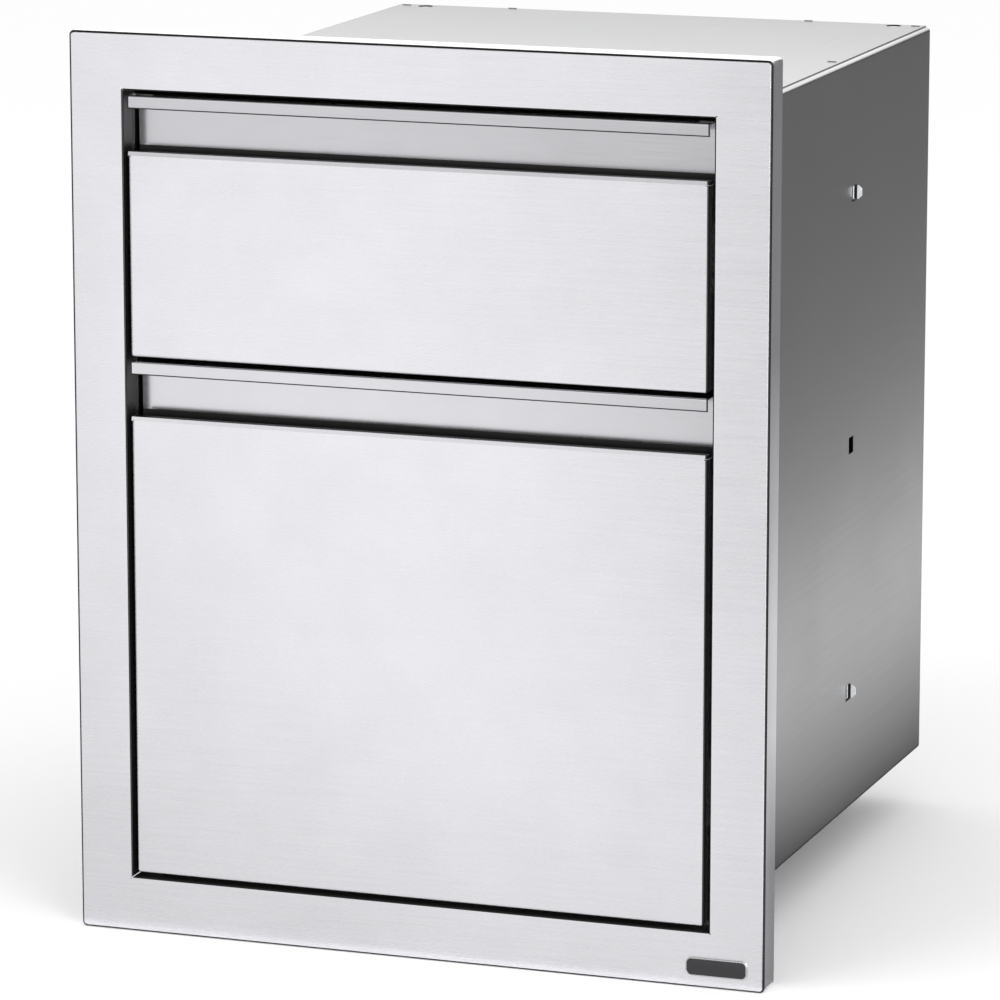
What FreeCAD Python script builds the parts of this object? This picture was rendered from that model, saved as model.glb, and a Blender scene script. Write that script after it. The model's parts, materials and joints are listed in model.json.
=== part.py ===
"""Built-in double trash drawer: a steel face frame and cabinet with a short drawer over a tall one.

Millimetres. X runs to the right as seen from the front, Y into the cabinet and Z up. The origin is the
middle of the face frame's bottom edge, in the plane where the frame's rim meets the island's face.
"""
import FreeCAD
import Part
import os
from types import SimpleNamespace

import Sketcher

NEAR = 1e-4  # mm, how closely an edge lies to the place that it is looked for at
LEFT, RIGHT = -1, 1
SIDES = {"left": LEFT, "right": RIGHT}

# Counts of what repeats
SLOT_ROWS = 3
BACK_RIVET_ROWS = 4
SLIDE_RIVETS = 3
UPPER_FRONT_RIVETS = 2
LOWER_FRONT_RIVETS = 4
BALLS_IN_A_ROW = 6

# Driving dimensions, mm
SIZES = {
    # Face frame
    "frame_width": 482.6,
    "frame_height": 609.6,
    "frame_border": 38.1,
    "frame_sheet": 1.2,
    "rim_depth": 22.0,
    "return_depth": 24.0,
    "frame_corner_inside": 2.0,
    "frame_bend_inside": 0.8,
    "return_bend_inside": 0.3,
    "nick_length": 2.6,
    "nick_width": 0.8,
    # Blank plate on the frame's lower right corner
    "plate_width": 42.0,
    "plate_height": 12.5,
    "plate_thickness": 1.4,
    "plate_corner_radius": 4.0,
    "plate_edge_radius": 0.5,
    "plate_from_right": 11.3,
    "plate_rise": 8.0,
    # Cabinet
    "overall_depth": 514.4,
    "cabinet_sheet": 1.0,
    "wall_setback": 16.0,
    "wall_flange": 15.0,
    "wall_bend_inside": 2.0,
    "slot_length": 11.2,
    "slot_height": 11.6,
    "low_slot_rise": 86.6,
    "top_slot_drop": 93.4,
    "front_slot_depth": 82.0,
    "rear_slot_depth": 322.9,
    "top_hole_diameter": 11.0,
    "top_hole_inset": 24.7,
    "top_hole_from_rear": 8.5,
    "tab_width": 6.0,
    "tab_rise": 0.6,
    "tab_clearance": 0.3,
    "side_tab_inset": 9.2,
    "middle_tab_depth": 296.0,
    "rear_tab_from_rear": 6.0,
    "back_tab_spacing": 226.0,
    "panel_clearance": 0.3,
    # Back sheet rivets
    "back_rivet_inset": 8.0,
    "back_rivet_pitch": 150.0,
    # Drawer fronts
    "front_gap": 3.2,
    "upper_front_height": 174.0,
    "front_sheet": 1.0,
    "front_depth": 20.0,
    "front_bend_inside": 1.0,
    "hem_bend_inside": 1.5,
    "hem_depth": 6.0,
    "hem_strip": 2.7,
    "hem_lean": 0.9,
    "hem_edge": 0.3,
    "hem_slit": 0.5,
    "lip_height": 8.8,
    "lip_bend_inside": 0.4,
    "lip_edge": 0.4,
    "finger_gap": 28.3,
    "pocket_depth": 40.0,
    "pocket_flange": 10.0,
    # Drawer boxes
    "box_sheet": 1.0,
    "box_rear_room": 51.4,
    "box_rise": 8.0,
    "upper_box_drop": 8.9,
    "lower_box_drop": 32.7,
    "box_hem": 6.0,
    "box_flange": 10.0,
    "box_front_flange": 14.0,
    "box_clearance": 0.2,
    "front_rivet_inset": 7.0,
    "front_rivet_low": 16.0,
    "front_rivet_pitch": 68.0,
    # Rivets
    "rivet_shank": 3.2,
    "rivet_hole_clearance": 0.1,
    "rivet_head": 6.4,
    "rivet_head_height": 1.1,
    "rivet_tail": 4.8,
    "rivet_tail_height": 0.8,
    # Ball-bearing slides
    "slide_thickness": 12.7,
    "slide_height": 45.0,
    "slide_setback": 3.0,
    "slide_rear_room": 38.4,
    "slide_sheet": 1.1,
    "slide_bend_inside": 0.4,
    "slide_reach": 10.5,
    "slide_rivet_end": 40.0,
    "running_clearance": 0.3,
    "ball_diameter": 3.8,
    "ball_clearance": 0.1,
    "ball_pitch": 36.0,
    "cage_sheet": 0.4,
    "cage_margin": 0.8,
    "cage_end": 10.0,
    # Hook tabs that stand through the cabinet's slots
    "hook_reach": 4.3,
    "hook_chamfer": 2.4,
    "hook_clearance": 0.5,
    "hook_height_room": 1.1,
    # Bins and the rack that they hang in
    "rack_sheet": 1.2,
    "rack_clearance": 1.0,
    "bin_side_room": 19.0,
    "bin_end_room": 13.5,
    "bin_gap": 21.0,
    "bin_floor_room": 9.8,
    "bin_taper": 11.0,
    "bin_wall": 2.2,
    "bin_corner_inside": 8.0,
    "bin_floor_inside": 4.0,
    "bin_clearance": 2.0,
    "bin_rim": 8.0,
    "bin_rim_thickness": 2.6,
}


class Dim:
    """A length that knows its value in mm and the sheet expression that gives it."""

    def __init__(self, value, text):
        self.value = float(value)
        self.text = text

    @staticmethod
    def of(other):
        """A Dim as it is, or a plain number as a Dim."""
        return other if isinstance(other, Dim) else Dim(other, f"({float(other)})")

    def __add__(self, other):
        other = Dim.of(other)
        return Dim(self.value + other.value, f"({self.text} + {other.text})")

    def __sub__(self, other):
        other = Dim.of(other)
        return Dim(self.value - other.value, f"({self.text} - {other.text})")

    def __mul__(self, factor):
        return Dim(self.value * factor, f"({self.text} * ({float(factor)}))")

    def __truediv__(self, divisor):
        return Dim(self.value / divisor, f"({self.text} / ({float(divisor)}))")

    def __neg__(self):
        return self * -1

    def __float__(self):
        return self.value


doc = FreeCAD.newDocument("DoubleTrashDrawer")


def write_sheet():
    """Put the driving dimensions in the document's sheet and return them as named Dims."""
    sheet = doc.addObject("Spreadsheet::Sheet", "Sizes")
    for row, (name, value) in enumerate(SIZES.items(), 1):
        sheet.set(f"A{row}", name)
        sheet.set(f"B{row}", str(value))
        sheet.setAlias(f"B{row}", name)
    doc.recompute()
    return SimpleNamespace(**{name: Dim(value, f"Sizes.{name}") for name, value in SIZES.items()})


s = write_sheet()


def work_out_places():
    """Heights, depths and half widths that several pieces share."""
    p = SimpleNamespace()
    p.half_width = s.frame_width / 2
    p.face = -s.rim_depth
    p.opening_half = p.half_width - s.frame_border
    p.opening_low = s.frame_border
    p.opening_high = s.frame_height - s.frame_border
    p.return_end = p.face + s.return_depth

    p.wall_front = p.face + s.wall_setback
    p.rear = p.face + s.overall_depth
    p.wall_inner = p.opening_half - s.cabinet_sheet
    p.wall_low = p.opening_low + s.cabinet_sheet
    p.wall_high = p.opening_high - s.cabinet_sheet
    p.sheet_half = p.opening_half - s.wall_bend_inside - s.cabinet_sheet
    p.back_front = p.rear - s.cabinet_sheet * 2
    p.back_rear = p.rear - s.cabinet_sheet
    p.side_tab = p.opening_half - s.side_tab_inset
    p.side_tab_depths = [p.face + s.middle_tab_depth, p.rear - s.rear_tab_from_rear]
    low_slot = p.opening_low + s.low_slot_rise
    slot_pitch = (p.opening_high - s.top_slot_drop - low_slot) / (SLOT_ROWS - 1)
    p.slot_heights = [low_slot + slot_pitch * row for row in range(SLOT_ROWS)]
    p.slot_depths = [p.face + s.front_slot_depth, p.face + s.rear_slot_depth]
    p.back_rivet_x = p.opening_half - s.back_rivet_inset
    p.back_rivet_low = s.frame_height / 2 - s.back_rivet_pitch * (BACK_RIVET_ROWS - 1) / 2

    p.front_half = p.opening_half - s.front_gap
    p.backing = p.face + s.front_depth
    p.box_front = p.backing + s.front_sheet
    p.box_rear = p.back_front - s.box_rear_room
    p.box_half = p.wall_inner - s.slide_thickness
    p.box_inner = p.box_half - s.box_sheet
    p.front_rivet_x = p.box_inner - s.front_rivet_inset

    p.slide_front = p.box_front + s.slide_setback
    p.slide_rear = p.back_front - s.slide_rear_room
    p.slide_length = p.slide_rear - p.slide_front
    p.slide_rivet_pitch = (p.slide_length - s.slide_rivet_end * 2) / (SLIDE_RIVETS - 1)
    first_rivet = p.slide_front + s.slide_rivet_end
    p.slide_rivets = [first_rivet + p.slide_rivet_pitch * number for number in range(SLIDE_RIVETS)]
    p.rivet_hole = s.rivet_shank / 2 + s.rivet_hole_clearance

    p.bin_half = p.box_half - s.bin_side_room
    p.bin_length = (p.box_rear - p.box_front - s.bin_end_room * 2 - s.bin_gap) / 2
    return p


def work_out_slide():
    """A slide's section: u runs from the cabinet wall to the drawer box, w up from the slide's middle."""
    k = SimpleNamespace()
    race = s.ball_diameter + s.running_clearance * 2
    k.outer_w = s.slide_height / 2
    k.middle_w = k.outer_w - s.slide_sheet - race
    k.inner_w = k.middle_w - s.slide_sheet - race
    k.outer_ball_w = k.middle_w + race / 2
    k.inner_ball_w = k.inner_w + race / 2
    k.outer_cage = s.slide_sheet + s.running_clearance
    k.middle_web = k.outer_cage + s.cage_sheet + s.running_clearance
    k.inner_cage = k.middle_web + s.slide_sheet + s.running_clearance
    k.inner_tip = k.inner_cage + s.cage_sheet + s.running_clearance
    k.ball_u = (k.inner_tip + s.slide_reach) / 2
    k.cage_reach = k.ball_u + s.ball_diameter / 2 + s.cage_margin
    k.first_ball = p.slide_front + p.slide_length / 2 - s.ball_pitch * (BALLS_IN_A_ROW - 1) / 2
    k.cage_front = k.first_ball - s.cage_end
    k.cage_rear = k.first_ball + s.ball_pitch * (BALLS_IN_A_ROW - 1) + s.cage_end
    return k


p = work_out_places()
k = work_out_slide()


def drawer_places(name, low, high, slide, box_drop, front_rivets):
    """The heights of one drawer's front, handle recess, slide and box."""
    d = SimpleNamespace(name=name, low=low, high=high, slide=slide, front_rivets=front_rivets)
    d.lip_low = high - s.lip_height
    d.pan_high = d.lip_low - s.finger_gap
    d.pocket_low = d.pan_high - s.pocket_depth
    d.box_low = low + s.box_rise
    d.box_high = d.pan_high - box_drop
    d.rivet_low = d.box_low + s.front_rivet_low
    d.rivet_heights = [d.rivet_low + s.front_rivet_pitch * row for row in range(front_rivets)]
    return d


upper = drawer_places(
    "upper",
    low=p.opening_high - s.front_gap - s.upper_front_height,
    high=p.opening_high - s.front_gap,
    slide=p.slot_heights[-1],
    box_drop=s.upper_box_drop,
    front_rivets=UPPER_FRONT_RIVETS,
)
lower = drawer_places(
    "lower",
    low=p.opening_low + s.front_gap,
    high=upper.low - s.front_gap,
    slide=p.slot_heights[0],
    box_drop=s.lower_box_drop,
    front_rivets=LOWER_FRONT_RIVETS,
)


# Sketches and features

PLANES = {"X": "YZ_Plane", "Y": "XZ_Plane", "Z": "XY_Plane"}


def new_body(label):
    """An empty body under the piece's name."""
    body = doc.addObject("PartDesign::Body", label)
    body.Label = label
    return body


def origin_part(body, role):
    """One of the body's own origin planes or axes."""
    return next(part for part in body.Origin.OriginFeatures if part.Role == role)


def bind(thing, prop, dim):
    """Tie a property to the sheet."""
    thing.setExpression(prop, dim.text)


def sketch_at(body, name, axis, level):
    """An empty sketch square to an axis, at a level along it; the plane square to Y faces -Y."""
    sketch = body.newObject("Sketcher::SketchObject", name)
    sketch.AttachmentSupport = (origin_part(body, PLANES[axis]), [""])
    sketch.MapMode = "FlatFace"
    bind(sketch, "AttachmentOffset.Base.z", -level if axis == "Y" else level)
    return sketch


def pin_point(sketch, element, end, point):
    """Hold one end or centre of a sketch element at two Dim coordinates."""
    for kind, dim in zip(("DistanceX", "DistanceY"), point):
        number = sketch.addConstraint(Sketcher.Constraint(kind, -1, 1, element, end, dim.value))
        bind(sketch, f"Constraints[{number}]", dim)


def draw_outline(sketch, points):
    """A closed outline of straight runs with every corner held."""
    first = sketch.GeometryCount
    spots = [FreeCAD.Vector(float(a), float(b), 0) for a, b in points]
    for start, end in zip(spots, spots[1:] + spots[:1]):
        sketch.addGeometry(Part.LineSegment(start, end), False)
    for number in range(len(points)):
        following = first + (number + 1) % len(points)
        sketch.addConstraint(Sketcher.Constraint("Coincident", first + number, 2, following, 1))
    for number, point in enumerate(points):
        pin_point(sketch, first + number, 1, point)


def draw_circle(sketch, centre, radius):
    """A circle held by its centre and radius."""
    spot = FreeCAD.Vector(float(centre[0]), float(centre[1]), 0)
    element = sketch.addGeometry(Part.Circle(spot, FreeCAD.Vector(0, 0, 1), radius.value), False)
    pin_point(sketch, element, 3, centre)
    number = sketch.addConstraint(Sketcher.Constraint("Radius", element, radius.value))
    bind(sketch, f"Constraints[{number}]", radius)


def rectangle(left, right, low, high):
    """The four corners of a rectangle in a sketch."""
    return [(left, low), (right, low), (right, high), (left, high)]


def extrude(body, name, axis, low, high, outlines):
    """Add the outlines' area as sheet or bar between two levels along an axis."""
    sketch = sketch_at(body, f"{name}_sketch", axis, high if axis == "Y" else low)
    for points in outlines:
        draw_outline(sketch, points)
    pad = body.newObject("PartDesign::Pad", name)
    pad.Profile = sketch
    bind(pad, "Length", high - low)
    return pad


def cut_through(body, name, axis, low, high, outlines=(), circles=()):
    """Take the outlines' and circles' area away between two levels along an axis."""
    doc.recompute()
    before = body.Shape.Volume
    sketch = sketch_at(body, f"{name}_sketch", axis, low if axis == "Y" else high)
    for points in outlines:
        draw_outline(sketch, points)
    for centre, radius in circles:
        draw_circle(sketch, centre, radius)
    pocket = body.newObject("PartDesign::Pocket", name)
    pocket.Profile = sketch
    bind(pocket, "Length", high - low)
    doc.recompute()
    if body.Shape.Volume > before - NEAR:
        raise ValueError(f"{body.Label}: {name} cuts nothing")
    return pocket


def edges_at(body, **spans):
    """Names of the body's edges that keep to the given coordinates, or run just from one to another."""
    names = []
    for number, edge in enumerate(body.Shape.Edges, 1):
        box = edge.BoundBox
        ends = {"x": (box.XMin, box.XMax), "y": (box.YMin, box.YMax), "z": (box.ZMin, box.ZMax)}
        wanted = {axis: span if isinstance(span, tuple) else (span, span) for axis, span in spans.items()}
        if all(abs(found - float(want)) < NEAR
               for axis in wanted for found, want in zip(ends[axis], wanted[axis])):
            names.append(f"Edge{number}")
    return names


def round_edges(body, name, radius, *places):
    """Round the edges at the given places."""
    doc.recompute()
    names = [edge for place in places for edge in edges_at(body, **place)]
    if len(names) < len(places):
        raise ValueError(f"{body.Label}: {name} finds {len(names)} edges for {len(places)} places")
    base = body.Tip
    fillet = body.newObject("PartDesign::Fillet", name)
    fillet.Base = (base, sorted(set(names)))
    bind(fillet, "Radius", radius)
    doc.recompute()
    return fillet


def repeat(body, name, features, *runs):
    """Repeat features along one or two origin axes; a run is its axis, its whole length and its count."""
    doc.recompute()
    pattern = body.newObject("PartDesign::LinearPattern", name)
    pattern.Originals = features
    for suffix, (axis, length, count) in zip(("", "2"), runs):
        setattr(pattern, f"Direction{suffix}", (origin_part(body, f"{axis}_Axis"), [""]))
        bind(pattern, f"Length{suffix}", length)
        setattr(pattern, f"Occurrences{suffix}", count)
    body.Tip = pattern
    doc.recompute()
    return pattern


def revolve_rivet(body, name, axis, seat, grip, outward):
    """A set rivet: its head lies on the seat point and looks outward along the axis, +1 or -1."""
    x, y, z = seat
    head, shank, tail = (d / 2 for d in (s.rivet_head, s.rivet_shank, s.rivet_tail))
    top = s.rivet_head_height
    end = grip + s.rivet_tail_height
    section = [
        (-end, None), (top, None), (top, head / 2), (top / 2, head), (top * 0, head), (top * 0, shank),
        (-grip, shank), (-grip, tail), (-end, tail),
    ]
    sketch = sketch_at(body, f"{name}_sketch", "Z", z)
    points = []
    for along, out in section:
        if axis == "X":
            points.append((x + along * outward, y if out is None else y + out))
        else:
            points.append((x if out is None else x + out, y + along * outward))
    draw_outline(sketch, points)
    turn = body.newObject("PartDesign::Revolution", name)
    turn.Profile = sketch
    turn.ReferenceAxis = (sketch, ["Edge1"])
    turn.Angle = 360
    return turn


# Cabinet

def make_face_frame():
    """The folded face frame: a flat border, a rim all round and returns into the opening."""
    body = new_body("face_frame")
    zero = p.face * 0
    sheet = s.frame_sheet
    outside = rectangle(-p.half_width, p.half_width, zero, s.frame_height)
    rim_inside = rectangle(-p.half_width + sheet, p.half_width - sheet, sheet, s.frame_height - sheet)
    opening = rectangle(-p.opening_half, p.opening_half, p.opening_low, p.opening_high)
    return_out = p.opening_half + sheet
    return_low = p.opening_low - sheet
    return_high = p.opening_high + sheet
    returns = rectangle(-return_out, return_out, return_low, return_high)
    extrude(body, "frame_block", "Y", p.face, zero, [outside])
    cut_through(body, "rim_hollow", "Y", p.face + sheet, zero, [rim_inside])
    extrude(body, "frame_returns", "Y", p.face + sheet, p.return_end, [returns])
    cut_through(body, "frame_opening", "Y", p.face, p.return_end, [opening])

    # Relief nicks, cut on the diagonal through the opening's corners
    half = s.nick_width / 2
    diagonal = 0.5 ** 0.5
    nicks = []
    for across in (LEFT, RIGHT):
        for height, up in ((p.opening_low, -1), (p.opening_high, 1)):
            corner = p.opening_half * across
            nicks.append([
                (corner + (s.nick_length * reach * across + half * turn * up) * diagonal,
                 height + (s.nick_length * reach * up - half * turn * across) * diagonal)
                for reach, turn in ((-0.5, 1), (1, 1), (1, -1), (-0.5, -1))
            ])
    cut_through(body, "corner_nicks", "Y", p.face, p.return_end, nicks)

    corners = [{"x": x, "z": z} for x in (-p.half_width, p.half_width) for z in (zero, s.frame_height)]
    round_edges(body, "frame_corners", s.frame_corner_inside + sheet, *corners)
    inside_corners = [{"x": x, "z": z} for x in (-p.half_width + sheet, p.half_width - sheet)
                      for z in (sheet, s.frame_height - sheet)]
    round_edges(body, "rim_corners", s.frame_corner_inside, *inside_corners)
    inside_bends = [{"y": p.face + sheet, "x": p.half_width - sheet}]
    round_edges(body, "rim_bend_inside", s.frame_bend_inside, *inside_bends)
    round_edges(body, "rim_bend", s.frame_bend_inside + sheet, {"y": p.face, "x": p.half_width})
    opening_edges = [{"y": p.face, "x": x} for x in (-p.opening_half, p.opening_half)]
    opening_edges += [{"y": p.face, "z": z} for z in (p.opening_low, p.opening_high)]
    round_edges(body, "return_bend", s.return_bend_inside + sheet, *opening_edges)
    return body


def make_blank_plate():
    """The small blank plate stuck on the frame's lower right corner."""
    body = new_body("blank_plate")
    right = p.half_width - s.plate_from_right
    left = right - s.plate_width
    high = s.plate_rise + s.plate_height
    front = p.face - s.plate_thickness
    extrude(body, "plate", "Y", front, p.face, [rectangle(left, right, s.plate_rise, high)])
    corners = [{"x": x, "z": z} for x in (left, right) for z in (s.plate_rise, high)]
    round_edges(body, "plate_corners", s.plate_corner_radius, *corners)
    round_edges(body, "plate_edge", s.plate_edge_radius, {"y": front, "x": left})
    return body


def make_cabinet_side(name, side):
    """A side sheet, folded inwards along its top, bottom and rear, slotted for the slides' hooks."""
    body = new_body(f"cabinet_side_{name}")
    sheet = s.cabinet_sheet
    out, web = p.opening_half * side, p.wall_inner * side
    tip = (p.opening_half - s.wall_flange) * side
    channel = [
        (tip, p.wall_low), (out, p.wall_low), (out, p.wall_high), (tip, p.wall_high),
        (tip, p.wall_high - sheet), (web, p.wall_high - sheet),
        (web, p.wall_low + sheet), (tip, p.wall_low + sheet),
    ]
    extrude(body, "side_channel", "Y", p.wall_front, p.rear, [channel])
    rear_flange = rectangle(tip, web, p.wall_low + sheet, p.wall_high - sheet)
    extrude(body, "rear_flange", "Y", p.back_rear, p.rear, [rear_flange])
    for number, depth in enumerate(p.side_tab_depths):
        middle = p.side_tab * side
        tab = rectangle(middle - s.tab_width / 2, middle + s.tab_width / 2,
                        p.wall_high - sheet, p.opening_high + s.tab_rise)
        extrude(body, f"top_tab_{number}", "Y", depth - sheet / 2, depth + sheet / 2, [tab])

    slots = [rectangle(depth - s.slot_length / 2, depth + s.slot_length / 2,
                       height - s.slot_height / 2, height + s.slot_height / 2)
             for depth in p.slot_depths for height in p.slot_heights]
    wall = sorted((out, web), key=float)
    cut_through(body, "hook_slots", "X", wall[0], wall[1], slots)
    holes = [((p.back_rivet_x * side, p.back_rivet_low + s.back_rivet_pitch * row), p.rivet_hole)
             for row in range(BACK_RIVET_ROWS)]
    cut_through(body, "rivet_holes", "Y", p.back_rear, p.rear, circles=holes)

    inside = [{"x": web, "z": p.wall_high - sheet}, {"x": web, "z": p.wall_low + sheet}]
    round_edges(body, "bends_inside", s.wall_bend_inside, *inside)
    outside = [{"x": out, "z": p.wall_high}, {"x": out, "z": p.wall_low}]
    round_edges(body, "bends", s.wall_bend_inside + sheet, *outside)
    return body


def make_cabinet_top():
    """The top sheet, laid on the sides' flanges, with two fixing holes and slots for the tabs."""
    body = new_body("cabinet_top")
    outline = rectangle(-p.sheet_half, p.sheet_half, p.wall_front, p.rear)
    extrude(body, "top_sheet", "Z", p.wall_high, p.opening_high, [outline])
    long = s.tab_width / 2 + s.tab_clearance
    wide = s.cabinet_sheet / 2 + s.tab_clearance
    spots = [(p.side_tab * side, depth) for side in SIDES.values() for depth in p.side_tab_depths]
    back_depth = (p.back_front + p.back_rear) / 2
    spots += [(s.back_tab_spacing / 2 * side, back_depth) for side in SIDES.values()]
    slots = [rectangle(x - long, x + long, y - wide, y + wide) for x, y in spots]
    hole_x, hole_y = p.opening_half - s.top_hole_inset, p.rear - s.top_hole_from_rear
    holes = [((hole_x * side, hole_y), s.top_hole_diameter / 2) for side in SIDES.values()]
    cut_through(body, "slots_and_holes", "Z", p.wall_high, p.opening_high, slots, holes)
    return body


def make_cabinet_bottom():
    """The bottom sheet, under the sides' flanges."""
    body = new_body("cabinet_bottom")
    outline = rectangle(-p.sheet_half, p.sheet_half, p.wall_front, p.rear)
    extrude(body, "bottom_sheet", "Z", p.opening_low, p.wall_low, [outline])
    return body


def make_cabinet_back():
    """The back sheet, riveted to the sides' rear flanges, with two tabs up through the top sheet."""
    body = new_body("cabinet_back")
    half = p.sheet_half
    low = p.wall_low + s.cabinet_sheet + s.panel_clearance
    high = p.wall_high - s.cabinet_sheet - s.panel_clearance
    extrude(body, "back_sheet", "Y", p.back_front, p.back_rear, [rectangle(-half, half, low, high)])
    tabs = [rectangle(s.back_tab_spacing / 2 * side - s.tab_width / 2,
                      s.back_tab_spacing / 2 * side + s.tab_width / 2,
                      high - s.cabinet_sheet, p.opening_high + s.tab_rise) for side in SIDES.values()]
    extrude(body, "back_tabs", "Y", p.back_front, p.back_rear, tabs)
    holes = [((p.back_rivet_x * side, p.back_rivet_low + s.back_rivet_pitch * row), p.rivet_hole)
             for side in SIDES.values() for row in range(BACK_RIVET_ROWS)]
    cut_through(body, "rivet_holes", "Y", p.back_front, p.back_rear, circles=holes)
    return body


def make_back_rivets():
    """The rivets that hold the back sheet, heads outside."""
    body = new_body("back_rivets")
    seat = (-p.back_rivet_x, p.rear, p.back_rivet_low)
    first = revolve_rivet(body, "rivet", "Y", seat, s.cabinet_sheet * 2, outward=1)
    columns = ("X", p.back_rivet_x * 2, 2)
    rows = ("Z", s.back_rivet_pitch * (BACK_RIVET_ROWS - 1), BACK_RIVET_ROWS)
    repeat(body, "rivets", [first], columns, rows)
    return body


# Slides

def slide_channel(side, height, web_out, web_in, tip, half_height):
    """The section of a slide member: a channel whose flanges run from its web to its tip."""
    sheet = s.slide_sheet
    section = [
        (web_out, -half_height), (tip, -half_height),
        (tip, -half_height + sheet), (web_in, -half_height + sheet),
        (web_in, half_height - sheet), (tip, half_height - sheet),
        (tip, half_height), (web_out, half_height),
    ]
    return [((p.wall_inner - u) * side, height + w) for u, w in section]


def round_channel(body, side, height, web_out, web_in, half_height):
    """Round the two bends of a slide member, inside and outside."""
    sheet = s.slide_sheet
    inside = [{"x": (p.wall_inner - web_in) * side, "z": height + w}
              for w in (-half_height + sheet, half_height - sheet)]
    outside = [{"x": (p.wall_inner - web_out) * side, "z": height + w} for w in (-half_height, half_height)]
    round_edges(body, "bends_inside", s.slide_bend_inside, *inside)
    round_edges(body, "bends", s.slide_bend_inside + sheet, *outside)


def make_slide_outer(drawer, name, side):
    """The outer member, flat on the cabinet wall, with hook tabs bent out through the wall's slots."""
    body = new_body(f"{drawer.name}_slide_outer_{name}")
    zero = s.slide_sheet * 0
    section = slide_channel(side, drawer.slide, zero, s.slide_sheet, s.slide_reach, k.outer_w)
    extrude(body, "member", "Y", p.slide_front, p.slide_rear, [section])
    half = s.slot_height / 2 - s.hook_height_room
    low, high = drawer.slide - half, drawer.slide + half
    root = (p.wall_inner - s.slide_sheet) * side
    end = (p.opening_half + s.hook_reach) * side
    shoulder = (p.opening_half + s.hook_reach - s.hook_chamfer) * side
    tab = [(root, low), (shoulder, low), (end, low + s.hook_chamfer), (end, high - s.hook_chamfer),
           (shoulder, high), (root, high)]
    windows = []
    for column, depth in enumerate(p.slot_depths):
        tab_rear = depth + s.slot_length / 2 - s.hook_clearance
        tab_front = tab_rear - s.slide_sheet
        extrude(body, f"hook_{column}", "Y", tab_front, tab_rear, [tab])
        windows.append(rectangle(tab_front - s.cabinet_sheet - s.hook_reach, tab_front, low, high))
    web = sorted((root, p.wall_inner * side), key=float)
    cut_through(body, "hook_windows", "X", web[0], web[1], windows)
    round_channel(body, side, drawer.slide, zero, s.slide_sheet, k.outer_w)
    return body


def make_slide_middle(drawer, name, side):
    """The middle member, which runs half as far as the drawer."""
    body = new_body(f"{drawer.name}_slide_middle_{name}")
    web_in = k.middle_web + s.slide_sheet
    section = slide_channel(side, drawer.slide, k.middle_web, web_in, s.slide_reach, k.middle_w)
    extrude(body, "member", "Y", p.slide_front, p.slide_rear, [section])
    round_channel(body, side, drawer.slide, k.middle_web, web_in, k.middle_w)
    return body


def make_slide_inner(drawer, name, side):
    """The inner member, riveted to the drawer box."""
    body = new_body(f"{drawer.name}_slide_inner_{name}")
    web_in = s.slide_thickness - s.slide_sheet
    section = slide_channel(side, drawer.slide, s.slide_thickness, web_in, k.inner_tip, k.inner_w)
    extrude(body, "member", "Y", p.slide_front, p.slide_rear, [section])
    web = sorted((p.box_half * side, (p.box_half + s.slide_sheet) * side), key=float)
    holes = [((depth, drawer.slide), p.rivet_hole) for depth in p.slide_rivets]
    cut_through(body, "rivet_holes", "X", web[0], web[1], circles=holes)
    round_channel(body, side, drawer.slide, s.slide_thickness, web_in, k.inner_w)
    return body


def make_ball_cage(label, drawer, side, web, ball_w):
    """A thin cage with a row of balls along each of its two flanges, all trapped between two members."""
    body = new_body(f"{label}_strip")
    half = ball_w + s.cage_sheet / 2
    low = half - s.cage_sheet
    web_in = web + s.cage_sheet
    section = [(web, -half), (k.cage_reach, -half), (k.cage_reach, -low), (web_in, -low),
               (web_in, low), (k.cage_reach, low), (k.cage_reach, half), (web, half)]
    outline = [((p.wall_inner - u) * side, drawer.slide + w) for u, w in section]
    extrude(body, "strip", "Y", k.cage_front, k.cage_rear, [outline])
    ball_x = (p.wall_inner - k.ball_u) * side
    radius = s.ball_diameter / 2
    seat = ((ball_x, k.first_ball), radius + s.ball_clearance)
    hole = cut_through(body, "hole", "Z", drawer.slide - half, drawer.slide + half, circles=[seat])
    row = ("Y", s.ball_pitch * (BALLS_IN_A_ROW - 1), BALLS_IN_A_ROW)
    repeat(body, "holes", [hole], row)

    balls = new_body(f"{label}_balls")
    ball = balls.newObject("PartDesign::AdditiveSphere", "ball")
    ball.AttachmentSupport = (origin_part(balls, "XY_Plane"), [""])
    ball.MapMode = "FlatFace"
    bind(ball, "Radius", radius)
    for letter, dim in zip("xyz", (ball_x, k.first_ball, drawer.slide - ball_w)):
        bind(ball, f"AttachmentOffset.Base.{letter}", dim)
    repeat(balls, "rows", [ball], row, ("Z", ball_w * 2, 2))

    cage = doc.addObject("Part::Compound", label)
    cage.Label = label
    cage.Links = [body, balls]
    return cage


# Drawers

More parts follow.
